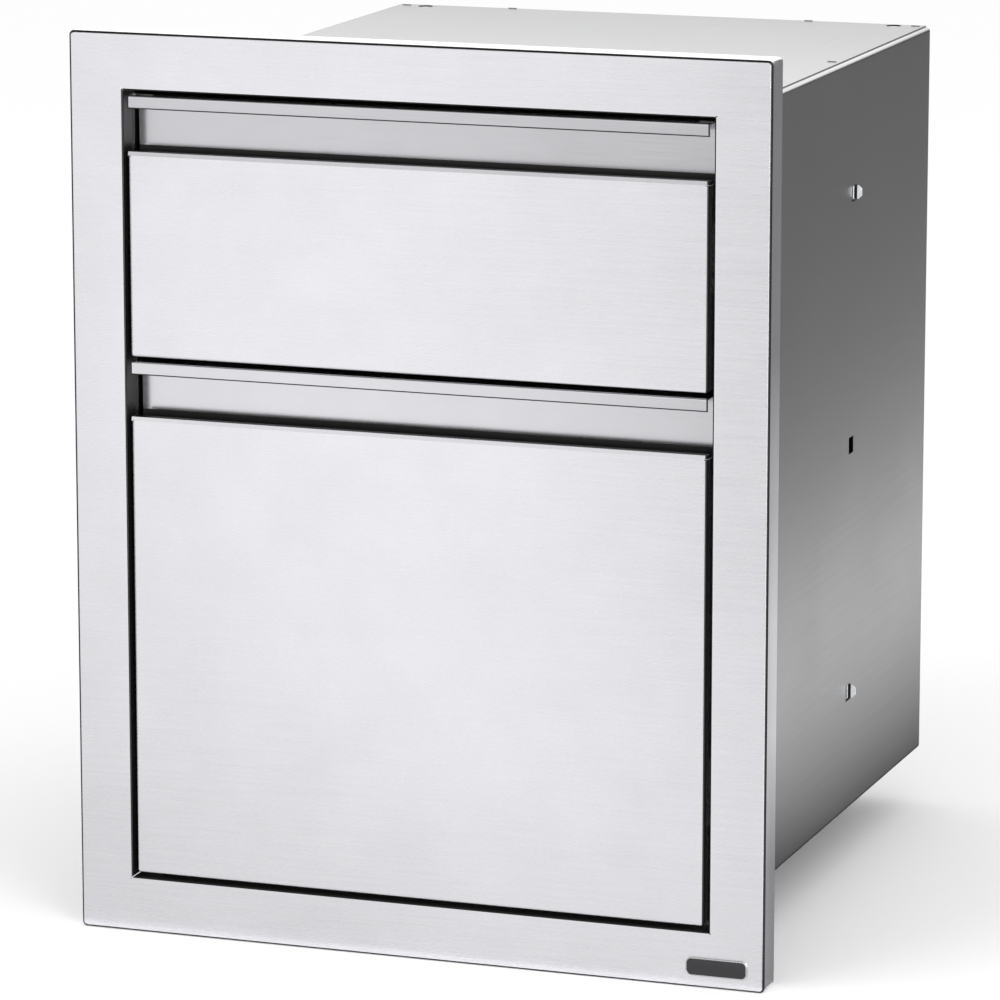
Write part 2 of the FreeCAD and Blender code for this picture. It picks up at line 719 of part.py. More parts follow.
def make_front_pan(drawer):
    """The drawer front: a shallow pan with side and bottom returns and a hemmed top edge."""
    body = new_body(f"{drawer.name}_front_pan")
    sheet = s.front_sheet
    half, inner = p.front_half, p.front_half - sheet
    low, high = drawer.low, drawer.pan_high
    extrude(body, "pan_block", "Y", p.face, p.backing, [rectangle(-half, half, low, high)])
    hollow = rectangle(-inner, inner, low + sheet, high - sheet)
    cut_through(body, "pan_hollow", "Y", p.face + sheet, p.backing, [hollow])
    mouth = rectangle(-half, half, high - sheet, high)
    cut_through(body, "finger_mouth", "Y", p.face + s.hem_depth, p.backing, [mouth])

    # The side returns stop under the hem, which keeps the front's whole width
    bend = s.front_bend_inside + sheet
    slit_high = high - s.hem_strip
    slit_low = slit_high - s.hem_slit
    edges = [sorted((inner * side, half * side), key=float) for side in SIDES.values()]
    tops = [rectangle(a, b, slit_low, high - sheet) for a, b in edges]
    cut_through(body, "return_tops", "Y", p.face + sheet, p.backing, tops)
    bends = [sorted(((half - bend) * side, half * side), key=float) for side in SIDES.values()]
    slits = [rectangle(a, b, slit_low, slit_high) for a, b in bends]
    cut_through(body, "hem_slits", "Y", p.face, p.face + sheet, slits)

    inside = [{"y": p.face + sheet, "x": x} for x in (-inner, inner)]
    inside += [{"y": p.face + sheet, "z": low + sheet}]
    inside += [{"x": x, "z": low + sheet} for x in (-inner, inner)]
    round_edges(body, "bends_inside", s.front_bend_inside, *inside)
    outside = [{"y": p.face, "x": x, "z": (low, slit_low)} for x in (-half, half)]
    outside += [{"y": p.face, "z": low}]
    outside += [{"x": x, "z": low} for x in (-half, half)]
    round_edges(body, "bends", bend, *outside)
    round_edges(body, "hem_inside", s.hem_bend_inside, {"y": p.face + sheet, "z": high - sheet})

    # The hem's visible strip leans back from the front, up to a narrow edge over the recess
    lean = p.face + s.hem_lean
    wedge = [(p.face, slit_high), (lean, high), (p.face, high)]
    cut_through(body, "hem_strip", "X", -half, half, [wedge])
    round_edges(body, "hem_edge", s.hem_edge, {"y": lean, "z": high})
    return body


def make_lip_sheet(drawer):
    """One folded sheet: the lip over the finger recess, its top, and the backing behind the front."""
    body = new_body(f"{drawer.name}_lip_sheet")
    sheet = s.front_sheet
    section = [
        (p.face, drawer.lip_low), (p.face, drawer.high),
        (p.box_front, drawer.high), (p.box_front, drawer.low),
        (p.backing, drawer.low), (p.backing, drawer.high - sheet),
        (p.face + sheet, drawer.high - sheet), (p.face + sheet, drawer.lip_low),
    ]
    extrude(body, "folded_sheet", "X", -p.front_half, p.front_half, [section])
    holes = [((p.front_rivet_x * side, height), p.rivet_hole)
             for side in SIDES.values() for height in drawer.rivet_heights]
    cut_through(body, "rivet_holes", "Y", p.backing, p.box_front, circles=holes)
    inside = [{"y": y, "z": drawer.high - sheet} for y in (p.face + sheet, p.backing)]
    round_edges(body, "bends_inside", s.lip_bend_inside, *inside)
    outside = [{"y": y, "z": drawer.high} for y in (p.face, p.box_front)]
    bend = s.lip_bend_inside + sheet
    round_edges(body, "bends", bend, *outside)
    free = [{"y": p.face, "z": drawer.lip_low}]
    upright = {"y": p.face, "z": (drawer.lip_low, drawer.high - bend)}
    free += [{"x": x, **upright} for x in (-p.front_half, p.front_half)]
    round_edges(body, "free_edges", s.lip_edge, *free)
    return body


def make_pocket_floor(drawer):
    """The strip that closes the finger recess below, between the pan and the backing."""
    body = new_body(f"{drawer.name}_pocket_floor")
    sheet = s.front_sheet
    half = p.front_half - sheet - s.front_bend_inside
    front = p.face + sheet
    low = drawer.pocket_low - s.pocket_flange
    high = drawer.pocket_low
    section = [(front, low), (front + sheet, low), (front + sheet, high - sheet),
               (p.backing, high - sheet), (p.backing, high), (front, high)]
    extrude(body, "floor_strip", "X", -half, half, [section])
    return body


def make_box_side(drawer, name, side):
    """A drawer box side with a top hem, a bottom flange and a front flange."""
    body = new_body(f"{drawer.name}_box_{name}")
    sheet = s.box_sheet
    low, high = drawer.box_low, drawer.box_high
    out, web = p.box_half * side, p.box_inner * side
    hem, flange = (p.box_half - s.box_hem) * side, (p.box_half - s.box_flange) * side
    section = [(flange, low), (out, low), (out, high), (hem, high), (hem, high - sheet), (web, high - sheet),
               (web, low + sheet), (flange, low + sheet)]
    extrude(body, "side_sheet", "Y", p.box_front, p.box_rear, [section])
    tip = (p.box_half - s.box_front_flange) * side
    front = rectangle(tip, web, low + sheet, high - sheet)
    extrude(body, "front_flange", "Y", p.box_front, p.box_front + sheet, [front])
    wall = sorted((out, web), key=float)
    slide_holes = [((depth, drawer.slide), p.rivet_hole) for depth in p.slide_rivets]
    cut_through(body, "slide_holes", "X", wall[0], wall[1], circles=slide_holes)
    front_holes = [((p.front_rivet_x * side, height), p.rivet_hole) for height in drawer.rivet_heights]
    cut_through(body, "front_holes", "Y", p.box_front, p.box_front + sheet, circles=front_holes)
    return body


def make_box_bottom(drawer):
    """The drawer bottom, laid on the sides' flanges."""
    body = new_body(f"{drawer.name}_box_bottom")
    half = p.box_inner - s.box_clearance
    low = drawer.box_low + s.box_sheet
    outline = rectangle(-half, half, p.box_front + s.box_sheet, p.box_rear)
    extrude(body, "bottom_sheet", "Z", low, low + s.box_sheet, [outline])
    return body


def make_box_back(drawer):
    """The drawer back, standing on the bottom between the sides, hemmed forwards along its top."""
    body = new_body(f"{drawer.name}_box_back")
    sheet = s.box_sheet
    half = p.box_half - s.box_hem - s.box_clearance
    low, high = drawer.box_low + sheet * 2, drawer.box_high
    inside, hem = p.box_rear - sheet, p.box_rear - s.box_hem
    section = [(p.box_rear, low), (p.box_rear, high), (hem, high), (hem, high - sheet),
               (inside, high - sheet), (inside, low)]
    extrude(body, "back_sheet", "X", -half, half, [section])
    wide = p.box_inner - s.box_clearance
    ears = rectangle(-wide, wide, low, high - sheet - s.box_clearance)
    extrude(body, "back_ears", "Y", inside, p.box_rear, [ears])
    return body


def make_slide_rivets(drawer):
    """The rivets that hold the slides' inner members to the drawer box, heads in the slides."""
    body = new_body(f"{drawer.name}_slide_rivets")
    grip = s.slide_sheet + s.box_sheet
    firsts = []
    for name, side in SIDES.items():
        seat = ((p.box_half + s.slide_sheet) * side, p.slide_rivets[0], drawer.slide)
        firsts.append(revolve_rivet(body, f"rivet_{name}", "X", seat, grip, outward=side))
    repeat(body, "rivets", firsts, ("Y", p.slide_rivet_pitch * (SLIDE_RIVETS - 1), SLIDE_RIVETS))
    return body


def make_front_rivets(drawer):
    """The rivets that hold the drawer box to its front, heads inside the box."""
    body = new_body(f"{drawer.name}_front_rivets")
    seat = (-p.front_rivet_x, p.box_front + s.box_sheet, drawer.rivet_low)
    first = revolve_rivet(body, "rivet", "Y", seat, s.box_sheet + s.front_sheet, outward=1)
    columns = ("X", p.front_rivet_x * 2, 2)
    rows = ("Z", s.front_rivet_pitch * (drawer.front_rivets - 1), drawer.front_rivets)
    repeat(body, "rivets", [first], columns, rows)
    return body


# Bins

def bin_middles():
    """The depths of the two bins' middles, about the middle of the drawer box."""
    middle = (p.box_front + p.box_rear) / 2
    spacing = p.bin_length + s.bin_gap
    return {"front": middle - spacing / 2, "rear": middle + spacing / 2}


def make_bin_rack():
    """The sheet that lies on the lower box's hems, with a cut-out for each bin."""
    body = new_body("bin_rack")
    half = p.box_half - s.rack_clearance
    front, rear = p.box_front + s.box_sheet + s.rack_clearance, p.box_rear - s.rack_clearance
    low, high = lower.box_high, lower.box_high + s.rack_sheet
    extrude(body, "rack_sheet", "Z", low, high, [rectangle(-half, half, front, rear)])
    wide = p.bin_half + s.bin_clearance
    long = p.bin_length / 2 + s.bin_clearance
    middles = bin_middles().values()
    cut_outs = [rectangle(-wide, wide, middle - long, middle + long) for middle in middles]
    cut_through(body, "cut_outs", "Z", low, high, cut_outs)
    corners = [{"x": x, "y": middle + y} for x in (-wide, wide) for middle in middles for y in (-long, long)]
    round_edges(body, "cut_out_corners", s.bin_corner_inside + s.bin_wall, *corners)
    return body


def make_bin(name, middle):
    """A tapered bin that hangs in the rack by its rim."""
    body = new_body(f"{name}_bin")
    seat = lower.box_high + s.rack_sheet
    top = seat + s.bin_rim_thickness
    low = lower.box_low + s.bin_floor_room
    floor = low + s.bin_wall

    def outline(inset):
        wide, long = p.bin_half - inset, p.bin_length / 2 - inset
        return rectangle(-wide, wide, middle - long, middle + long)

    def loft(kind, title, sections):
        sketches = []
        for number, (level, inset) in enumerate(sections):
            sketch = sketch_at(body, f"{title}_{number}", "Z", level)
            draw_outline(sketch, outline(inset))
            sketches.append(sketch)
        feature = body.newObject(f"PartDesign::{kind}", title)
        feature.Profile = sketches[0]
        feature.Sections = sketches[1:]
        feature.Ruled = True
        doc.recompute()

    none = s.bin_wall * 0
    loft("AdditiveLoft", "outside", [(low, s.bin_taper), (seat, none)])
    extrude(body, "rim", "Z", seat, top, [outline(-s.bin_rim)])
    loft("SubtractiveLoft", "inside", [(floor, s.bin_taper + s.bin_wall), (top, s.bin_wall)])
    outer_corner = s.bin_corner_inside + s.bin_wall
    round_edges(body, "outer_corners", outer_corner, {"z": (low, seat)})
    round_edges(body, "inner_corners", s.bin_corner_inside, {"z": (floor, top)})
    rim_half = p.bin_half + s.bin_rim
    rim_corners = [{"z": (seat, top), "x": x} for x in (-rim_half, rim_half)]
    round_edges(body, "rim_corners", outer_corner + s.bin_rim, *rim_corners)
    round_edges(body, "outer_floor", s.bin_floor_inside + s.bin_wall, {"z": low})
    round_edges(body, "inner_floor", s.bin_floor_inside, {"z": floor})
    return body


def make_drawer(drawer):
    """All pieces of one drawer with its two slides."""
    pieces = [make_front_pan(drawer), make_lip_sheet(drawer), make_pocket_floor(drawer)]
    pieces += [make_box_bottom(drawer), make_box_back(drawer)]
    pieces += [make_slide_rivets(drawer), make_front_rivets(drawer)]
    for name, side in SIDES.items():
        pieces.append(make_box_side(drawer, name, side))
        pieces.append(make_slide_outer(drawer, name, side))
        pieces.append(make_slide_middle(drawer, name, side))
        pieces.append(make_slide_inner(drawer, name, side))
        cage = f"{drawer.name}_{{}}_cage_{name}"
        pieces.append(make_ball_cage(cage.format("outer"), drawer, side, k.outer_cage, k.outer_ball_w))
        pieces.append(make_ball_cage(cage.format("inner"), drawer, side, k.inner_cage, k.inner_ball_w))
    return pieces


def make_cabinet():
    """The fixed pieces that the drawers slide in."""
    pieces = [make_face_frame(), make_blank_plate(), make_cabinet_top(), make_cabinet_bottom()]
    pieces += [make_cabinet_back(), make_back_rivets()]
    pieces += [make_cabinet_side(name, side) for name, side in SIDES.items()]
    return pieces


def check(pieces):
    """Stop unless every object of the document came out sound."""
    failed = [thing.Label for thing in doc.Objects if {"Invalid", "Error"} & set(thing.State)]
    unsound = [piece.Label for piece in pieces if piece.Shape.isNull() or not piece.Shape.isValid()]
    if failed or unsound:
        raise ValueError(f"failed: {failed}, unsound: {unsound}")


def main():
    """Build every piece, check it and write it to its own file."""
    pieces = make_cabinet() + make_drawer(upper) + make_drawer(lower) + [make_bin_rack()]
    pieces += [make_bin(name, middle) for name, middle in bin_middles().items()]
    doc.recompute()
    check(pieces)
    os.makedirs("parts", exist_ok=True)
    for piece in pieces:
        piece.Shape.exportStep(f"parts/{piece.Label}.step")
        print(f"{piece.Label}: {len(piece.Shape.Solids)} solids, {piece.Shape.Volume:.0f} mm3")


main()
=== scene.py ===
"""Looks of a built-in double trash drawer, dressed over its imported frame.

Metres. X runs to the right as seen from the front, Y into the cabinet and Z up.
"""

import json
import logging
import math
from collections.abc import Callable, Mapping, Sequence
from dataclasses import dataclass
from enum import Enum

import bpy
from mathutils import Matrix, Vector


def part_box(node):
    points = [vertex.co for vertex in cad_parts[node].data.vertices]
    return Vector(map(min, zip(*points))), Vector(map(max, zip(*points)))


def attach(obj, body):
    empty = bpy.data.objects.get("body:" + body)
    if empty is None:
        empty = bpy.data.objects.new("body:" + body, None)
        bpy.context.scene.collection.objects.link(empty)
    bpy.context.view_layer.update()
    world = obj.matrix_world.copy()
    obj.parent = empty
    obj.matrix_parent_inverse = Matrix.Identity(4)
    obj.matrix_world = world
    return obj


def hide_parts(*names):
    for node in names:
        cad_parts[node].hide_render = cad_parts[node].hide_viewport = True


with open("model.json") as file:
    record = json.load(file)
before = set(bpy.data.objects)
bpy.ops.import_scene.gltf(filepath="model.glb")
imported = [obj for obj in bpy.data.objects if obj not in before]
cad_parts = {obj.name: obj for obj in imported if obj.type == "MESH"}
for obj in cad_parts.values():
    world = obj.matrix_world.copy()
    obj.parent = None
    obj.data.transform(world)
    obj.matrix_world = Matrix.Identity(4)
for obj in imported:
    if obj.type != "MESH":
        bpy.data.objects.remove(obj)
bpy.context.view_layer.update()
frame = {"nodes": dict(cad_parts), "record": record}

MM = 0.001
# Further from the middle than any piece reaches
BEYOND = 1.0
CORNER_STEPS = 6
SMOOTH_ANGLE = math.radians(35)
SHARP_ANGLE = math.radians(60)
LOG = logging.getLogger("double_trash_drawer")

Rgba = tuple[float, float, float, float]
Point = tuple[float, float, float]
Tree = bpy.types.NodeTree
Socket = bpy.types.NodeSocket
Material = bpy.types.Material
Piece = bpy.types.Object

RIGHT: Point = (1.0, 0.0, 0.0)
LEFT: Point = (-1.0, 0.0, 0.0)
BACK: Point = (0.0, 1.0, 0.0)
FORWARDS: Point = (0.0, -1.0, 0.0)
UP: Point = (0.0, 0.0, 1.0)


def linear(hex_code: str) -> Rgba:
    """Turn an sRGB hex colour into linear light.

    Args:
        hex_code: Six hex digits with a leading hash sign.

    Returns:
        Red, green, blue and an opaque alpha.
    """
    shares = [int(hex_code[place:place + 2], 16) / 255 for place in (1, 3, 5)]
    light = [share / 12.92 if share <= 0.04045 else ((share + 0.055) / 1.055) ** 2.4 for share in shares]
    return (light[0], light[1], light[2], 1.0)


def add_node(tree: Tree, kind: str, inputs: Mapping[str | int, object], **settings: object
             ) -> bpy.types.Node:
    """Add a node to a tree with its settings and links.

    Args:
        tree: Node tree that gets the node.
        kind: Blender's type name of the node.
        inputs: Input sockets by name or place, each with a value or an output socket to link.
        settings: Properties of the node itself.

    Returns:
        The new node.
    """
    node = tree.nodes.new(kind)
    for name, value in settings.items():
        setattr(node, name, value)
    for key, value in inputs.items():
        if isinstance(value, Socket):
            tree.links.new(value, node.inputs[key])
        else:
            node.inputs[key].default_value = value
    return node


def new_material(name: str) -> tuple[Material, Tree, Socket]:
    """Start a material that holds only its coordinates.

    Args:
        name: Name of the real material.

    Returns:
        The material, its node tree and its Object coordinates.
    """
    material = bpy.data.materials.new(name)
    material.use_nodes = True
    tree = material.node_tree
    tree.nodes.clear()
    return material, tree, add_node(tree, "ShaderNodeTexCoord", {}).outputs["Object"]


def deselect_all() -> None:
    """Leave nothing selected, so that an operator acts on the new piece alone."""
    bpy.ops.object.select_all(action="DESELECT")


@dataclass(frozen=True)
class Region:
    """Box, in the model's frame, where a sheet shows another skin."""

    low: Point
    high: Point

    def mask(self, tree: Tree, place: Socket) -> Socket:
        """Tell the inside of the box from the outside.

        Args:
            tree: Node tree of the material.
            place: Object coordinates.

        Returns:
            A socket that is 1 inside the box and 0 elsewhere.
        """
        middle = [(a + b) / 2 for a, b in zip(self.low, self.high)]
        half = [(b - a) / 2 for a, b in zip(self.low, self.high)]
        offset = add_node(tree, "ShaderNodeVectorMath", {0: place, 1: middle}, operation="SUBTRACT")
        reach = add_node(tree, "ShaderNodeVectorMath", {0: offset.outputs[0]}, operation="ABSOLUTE")
        parts = add_node(tree, "ShaderNodeSeparateXYZ", {0: reach.outputs[0]})
        within = [add_node(tree, "ShaderNodeMath", {
            0: parts.outputs[axis], 1: half[axis]}, operation="LESS_THAN") for axis in range(3)]
        flat = add_node(tree, "ShaderNodeMath", {
            0: within[0].outputs[0], 1: within[1].outputs[0]}, operation="MULTIPLY")
        return add_node(tree, "ShaderNodeMath", {
            0: flat.outputs[0], 1: within[2].outputs[0]}, operation="MULTIPLY").outputs[0]


def mask_any(regions: Sequence[Region], tree: Tree, place: Socket) -> Socket:
    """Tell the inside of several boxes from the outside.

    Args:
        regions: The boxes, at least one.
        tree: Node tree of the material.
        place: Object coordinates.

    Returns:
        A socket that is 1 inside any of the boxes and 0 elsewhere.
    """
    mask = regions[0].mask(tree, place)
    for region in regions[1:]:
        mask = add_node(tree, "ShaderNodeMath", {
            0: mask, 1: region.mask(tree, place)}, operation="MAXIMUM").outputs[0]
    return mask


class Grain(Enum):
    """Axes that a sheet's brush lines or rolling lines run along."""

    ALONG_Y = (1,)
    ALONG_Z = (2,)
    ROUND_SIDE_BENDS = (0, 1)

    def scale(self, length: float, width: float) -> Point:
        """Give the texture scale that draws streaks this way.

        Args:
            length: Length of a streak in metres.
            width: Width of a streak in metres.

        Returns:
            Streaks in a metre along X, Y and Z.
        """
        streaks = [1 / length if axis in self.value else 1 / width for axis in range(3)]
        return (streaks[0], streaks[1], streaks[2])


class Sheen(Enum):
    """Way that brushed metal spreads what it mirrors."""

    UP_AND_DOWN = UP
    SIDEWAYS = RIGHT
    IN_AND_OUT = BACK


@dataclass(frozen=True)
class BrushedStainless:
    """Stainless sheet drawn under an abrasive belt, which leaves a fine silky grain in one direction.

    The eye sees a pale, slightly cool grey with faint streaks, and a sheen that spreads across the grain.
    Tight bends, cut edges and the faces of narrow gaps get painted shade: inside given boxes the sheet takes
    a dark colour and a higher roughness, in place of the shade and dark reflections there. What lies behind
    rim_start is smoother and shows no lines. Real lines are 0.05 to 0.2 mm wide, too fine for the render, so
    they are drawn about 0.7 mm wide.
    """

    name: str
    # Boxes of painted shade: a dark colour and roughness in place of the shade and dark reflections on bends,
    # edges and gaps
    painted_shade: tuple[Region, ...]
    rim_start: float
    painted_shade_colour: str
    colour: str = "#EAE9ED"
    grain: Grain = Grain.ROUND_SIDE_BENDS
    sheen: Sheen = Sheen.UP_AND_DOWN
    streak_length: float = 45 * MM
    streak_width: float = 0.7 * MM
    cloud_size: float = 60 * MM
    streak_tone: float = 0.04
    cloud_tone: float = 0.025
    roughness: float = 0.28
    roughness_change: float = 0.04
    rim_roughness: float = 0.2
    painted_shade_roughness: float = 0.42
    sheen_spread: float = 0.75
    bump: float = 0.002 * MM

    def build(self) -> Material:
        """Make the material.

        Returns:
            A metal with streaked tone, roughness and height.
        """
        material, tree, place = new_material(self.name)
        depth = add_node(tree, "ShaderNodeSeparateXYZ", {0: place})
        rim = add_node(tree, "ShaderNodeMath", {
            0: depth.outputs[1], 1: self.rim_start}, operation="GREATER_THAN")
        stretch = add_node(tree, "ShaderNodeMix", {
            "Factor": rim.outputs[0], 4: self.grain.scale(self.streak_length, self.streak_width),
            5: self.grain.scale(self.streak_length, self.streak_length)}, data_type="VECTOR")
        drawn = add_node(tree, "ShaderNodeMapping", {"Vector": place, "Scale": stretch.outputs[1]})
        streaks = add_node(tree, "ShaderNodeTexNoise", {
            "Vector": drawn.outputs[0], "Scale": 1.0, "Detail": 3.0, "Roughness": 0.62})
        clouds = add_node(tree, "ShaderNodeTexNoise", {
            "Vector": place, "Scale": 1 / self.cloud_size, "Detail": 3.0, "Roughness": 0.6})
        streak_tone = add_node(tree, "ShaderNodeMapRange", {
            "Value": streaks.outputs["Fac"], "From Min": 0.25, "From Max": 0.75,
            "To Min": 1 - self.streak_tone, "To Max": 1 + self.streak_tone / 2}, clamp=False)
        cloud_tone = add_node(tree, "ShaderNodeMapRange", {
            "Value": clouds.outputs["Fac"], "From Min": 0.3, "From Max": 0.7,
            "To Min": 1 - self.cloud_tone, "To Max": 1 + self.cloud_tone}, clamp=False)
        tone = add_node(tree, "ShaderNodeMath", {
            0: streak_tone.outputs[0], 1: cloud_tone.outputs[0]}, operation="MULTIPLY")
        # Painted shade: inside its boxes the sheet takes the dark colour and its own roughness
        painted_shade = mask_any(self.painted_shade, tree, place)
        skin = add_node(tree, "ShaderNodeMix", {
            "Factor": painted_shade, 6: linear(self.colour), 7: linear(self.painted_shade_colour)}, data_type="RGBA")
        colour = add_node(tree, "ShaderNodeVectorMath", {
            0: skin.outputs[2], "Scale": tone.outputs[0]}, operation="SCALE")
        shine = add_node(tree, "ShaderNodeMapRange", {
            "Value": streaks.outputs["Fac"], "From Min": 0.25, "From Max": 0.75,
            "To Min": self.roughness - self.roughness_change,
            "To Max": self.roughness + self.roughness_change})
        brushed = add_node(tree, "ShaderNodeMix", {
            "Factor": rim.outputs[0], 2: shine.outputs[0], 3: self.rim_roughness}, data_type="FLOAT")
        roughness = add_node(tree, "ShaderNodeMix", {
            "Factor": painted_shade, 2: brushed.outputs[0], 3: self.painted_shade_roughness}, data_type="FLOAT")
        lines = add_node(tree, "ShaderNodeBump", {
            "Height": streaks.outputs["Fac"], "Strength": 1.0, "Distance": self.bump})
        spread = add_node(tree, "ShaderNodeMix", {
            "Factor": rim.outputs[0], 4: self.sheen.value, 5: Sheen.IN_AND_OUT.value}, data_type="VECTOR")
        metal = add_node(tree, "ShaderNodeBsdfPrincipled", {
            "Base Color": colour.outputs[0], "Metallic": 1.0, "Roughness": roughness.outputs[0],
            "Anisotropic": self.sheen_spread, "Tangent": spread.outputs[1], "Normal": lines.outputs[0]})
        add_node(tree, "ShaderNodeOutputMaterial", {"Surface": metal.outputs[0]})
        return material


@dataclass(frozen=True)
class MillStainless:
    """Cold-rolled stainless sheet as it leaves the mill, a matt, smooth skin with hardly any grain.

    The eye sees a soft, even grey that mirrors the room in a blur, with faint rolling lines. The walls of the
    holes through it get painted shade, a near-black colour in place of the shade inside them.
    """

    name: str
    # Boxes of painted shade on the hole walls, and its colour
    hole_shade: tuple[Region, ...] = ()
    hole_shade_colour: str = "#0A0A0A"
    colour: str = "#A7A7A8"
    grain: Grain = Grain.ALONG_Y
    line_length: float = 160 * MM
    line_width: float = 3.5 * MM
    cloud_size: float = 90 * MM
    line_tone: float = 0.025
    roughness: float = 0.33
    roughness_change: float = 0.015

    def build(self) -> Material:
        """Make the material.

        Returns:
            A metal with faint rolling lines and a cloudy shine.
        """
        material, tree, place = new_material(self.name)
        rolled = add_node(tree, "ShaderNodeMapping", {
            "Vector": place, "Scale": self.grain.scale(self.line_length, self.line_width)})
        lines = add_node(tree, "ShaderNodeTexNoise", {
            "Vector": rolled.outputs[0], "Scale": 1.0, "Detail": 2.0, "Roughness": 0.5})
        clouds = add_node(tree, "ShaderNodeTexNoise", {
            "Vector": place, "Scale": 1 / self.cloud_size, "Detail": 3.0, "Roughness": 0.55})
        tone = add_node(tree, "ShaderNodeMapRange", {
            "Value": lines.outputs["Fac"], "From Min": 0.3, "From Max": 0.7,
            "To Min": 1 - self.line_tone, "To Max": 1 + self.line_tone}, clamp=False)
        skin: object = linear(self.colour)[:3]
        # Painted shade: the hole walls take a near-black colour
        if self.hole_shade:
            skin = add_node(tree, "ShaderNodeMix", {
                "Factor": mask_any(self.hole_shade, tree, place), 6: linear(self.colour),
                7: linear(self.hole_shade_colour)}, data_type="RGBA").outputs[2]
        colour = add_node(tree, "ShaderNodeVectorMath", {
            0: skin, "Scale": tone.outputs[0]}, operation="SCALE")
        roughness = add_node(tree, "ShaderNodeMapRange", {
            "Value": clouds.outputs["Fac"], "From Min": 0.3, "From Max": 0.7,
            "To Min": self.roughness - self.roughness_change,
            "To Max": self.roughness + self.roughness_change})
        metal = add_node(tree, "ShaderNodeBsdfPrincipled", {
            "Base Color": colour.outputs[0], "Metallic": 1.0, "Roughness": roughness.outputs[0]})
        add_node(tree, "ShaderNodeOutputMaterial", {"Surface": metal.outputs[0]})
        return material


@dataclass(frozen=True)
class ZincPlate:
    """Passivated zinc plate on roll-formed steel, with the small crystal patches that the plating leaves.

    The eye sees a pale bluish grey, half matt, whose shine differs from patch to patch. The default colour is
    paler and the default metallic lower than the plate's own, a painted highlight that makes the hook tabs
    read bright, and where a tab passes through a cabinet side the plate takes a dark colour as painted shade.
    """

    name: str
    # Boxes of painted shade where the hook tabs pass through the cabinet's sides, and its colour
    slot_shade: tuple[Region, ...]
    slot_shade_colour: str = "#1C1C1C"
    # The default colour and metallic below are paler and lower than the plate's own: a painted highlight for
    # the hook tabs
    colour: str = "#EEF0F2"
    patch_size: float = 2.4 * MM
    patch_tone: float = 0.08
    metallic: float = 0.45
    roughness: float = 0.36
    roughness_change: float = 0.06

    def build(self) -> Material:
        """Make the material.

        Returns:
            A metal with patches of slightly different tone and shine.
        """
        material, tree, place = new_material(self.name)
        patches = add_node(tree, "ShaderNodeTexVoronoi", {"Vector": place, "Scale": 1 / self.patch_size})
        shade = add_node(tree, "ShaderNodeSeparateColor", {"Color": patches.outputs["Color"]})
        tone = add_node(tree, "ShaderNodeMapRange", {
            "Value": shade.outputs[0], "To Min": 1 - self.patch_tone, "To Max": 1 + self.patch_tone})
        # Painted shade: a dark colour in the slots' boxes, in place of the shade there
        skin = add_node(tree, "ShaderNodeMix", {
            "Factor": mask_any(self.slot_shade, tree, place), 6: linear(self.colour), 7: linear(self.slot_shade_colour)},
            data_type="RGBA")
        colour = add_node(tree, "ShaderNodeVectorMath", {
            0: skin.outputs[2], "Scale": tone.outputs[0]}, operation="SCALE")
        roughness = add_node(tree, "ShaderNodeMapRange", {
            "Value": shade.outputs[1], "To Min": self.roughness - self.roughness_change,
            "To Max": self.roughness + self.roughness_change})
        metal = add_node(tree, "ShaderNodeBsdfPrincipled", {
            "Base Color": colour.outputs[0], "Metallic": self.metallic, "Roughness": roughness.outputs[0]})
        add_node(tree, "ShaderNodeOutputMaterial", {"Surface": metal.outputs[0]})
        return material


@dataclass(frozen=True)
class PolishedSteel:
    """Hardened or turned steel with a bright skin, as on bearing balls, rivets and a plate's bright edge.

    The eye sees a clear mirror, broken by fine handling marks.
    """

    name: str
    colour: str = "#CDCDCE"
    mark_size: float = 0.8 * MM
    roughness: float = 0.14
    roughness_change: float = 0.08

    def build(self) -> Material:
        """Make the material.

        Returns:
            A bright metal with fine marks in its shine.
        """
        material, tree, place = new_material(self.name)
        marks = add_node(tree, "ShaderNodeTexNoise", {
            "Vector": place, "Scale": 1 / self.mark_size, "Detail": 3.0, "Roughness": 0.6})
        roughness = add_node(tree, "ShaderNodeMapRange", {
            "Value": marks.outputs["Fac"], "From Min": 0.35, "From Max": 0.7,
            "To Min": self.roughness, "To Max": self.roughness + self.roughness_change})
        metal = add_node(tree, "ShaderNodeBsdfPrincipled", {
            "Base Color": linear(self.colour), "Metallic": 1.0, "Roughness": roughness.outputs[0]})
        add_node(tree, "ShaderNodeOutputMaterial", {"Surface": metal.outputs[0]})
        return material


@dataclass(frozen=True)
class BlackEnamel:
    """Hard black enamel fired on a metal plate, smooth with a slight orange-peel.

    The eye sees a deep grey-black with a soft gloss.
    """

    name: str
    colour: str = "#242426"
    peel_size: float = 1.2 * MM
    roughness: float = 0.32
    roughness_change: float = 0.04
    bump: float = 0.01 * MM

    def build(self) -> Material:
        """Make the material.

        Returns:
            A dark paint with a slightly uneven gloss.
        """
        material, tree, place = new_material(self.name)
        peel = add_node(tree, "ShaderNodeTexNoise", {
            "Vector": place, "Scale": 1 / self.peel_size, "Detail": 2.0, "Roughness": 0.5})
        dents = add_node(tree, "ShaderNodeBump", {
            "Height": peel.outputs["Fac"], "Strength": 1.0, "Distance": self.bump})
        roughness = add_node(tree, "ShaderNodeMapRange", {
            "Value": peel.outputs["Fac"], "From Min": 0.3, "From Max": 0.7,
            "To Min": self.roughness - self.roughness_change,
            "To Max": self.roughness + self.roughness_change})
        paint = add_node(tree, "ShaderNodeBsdfPrincipled", {
            "Base Color": linear(self.colour), "Roughness": roughness.outputs[0],
            "Normal": dents.outputs[0]})
        add_node(tree, "ShaderNodeOutputMaterial", {"Surface": paint.outputs[0]})
        return material


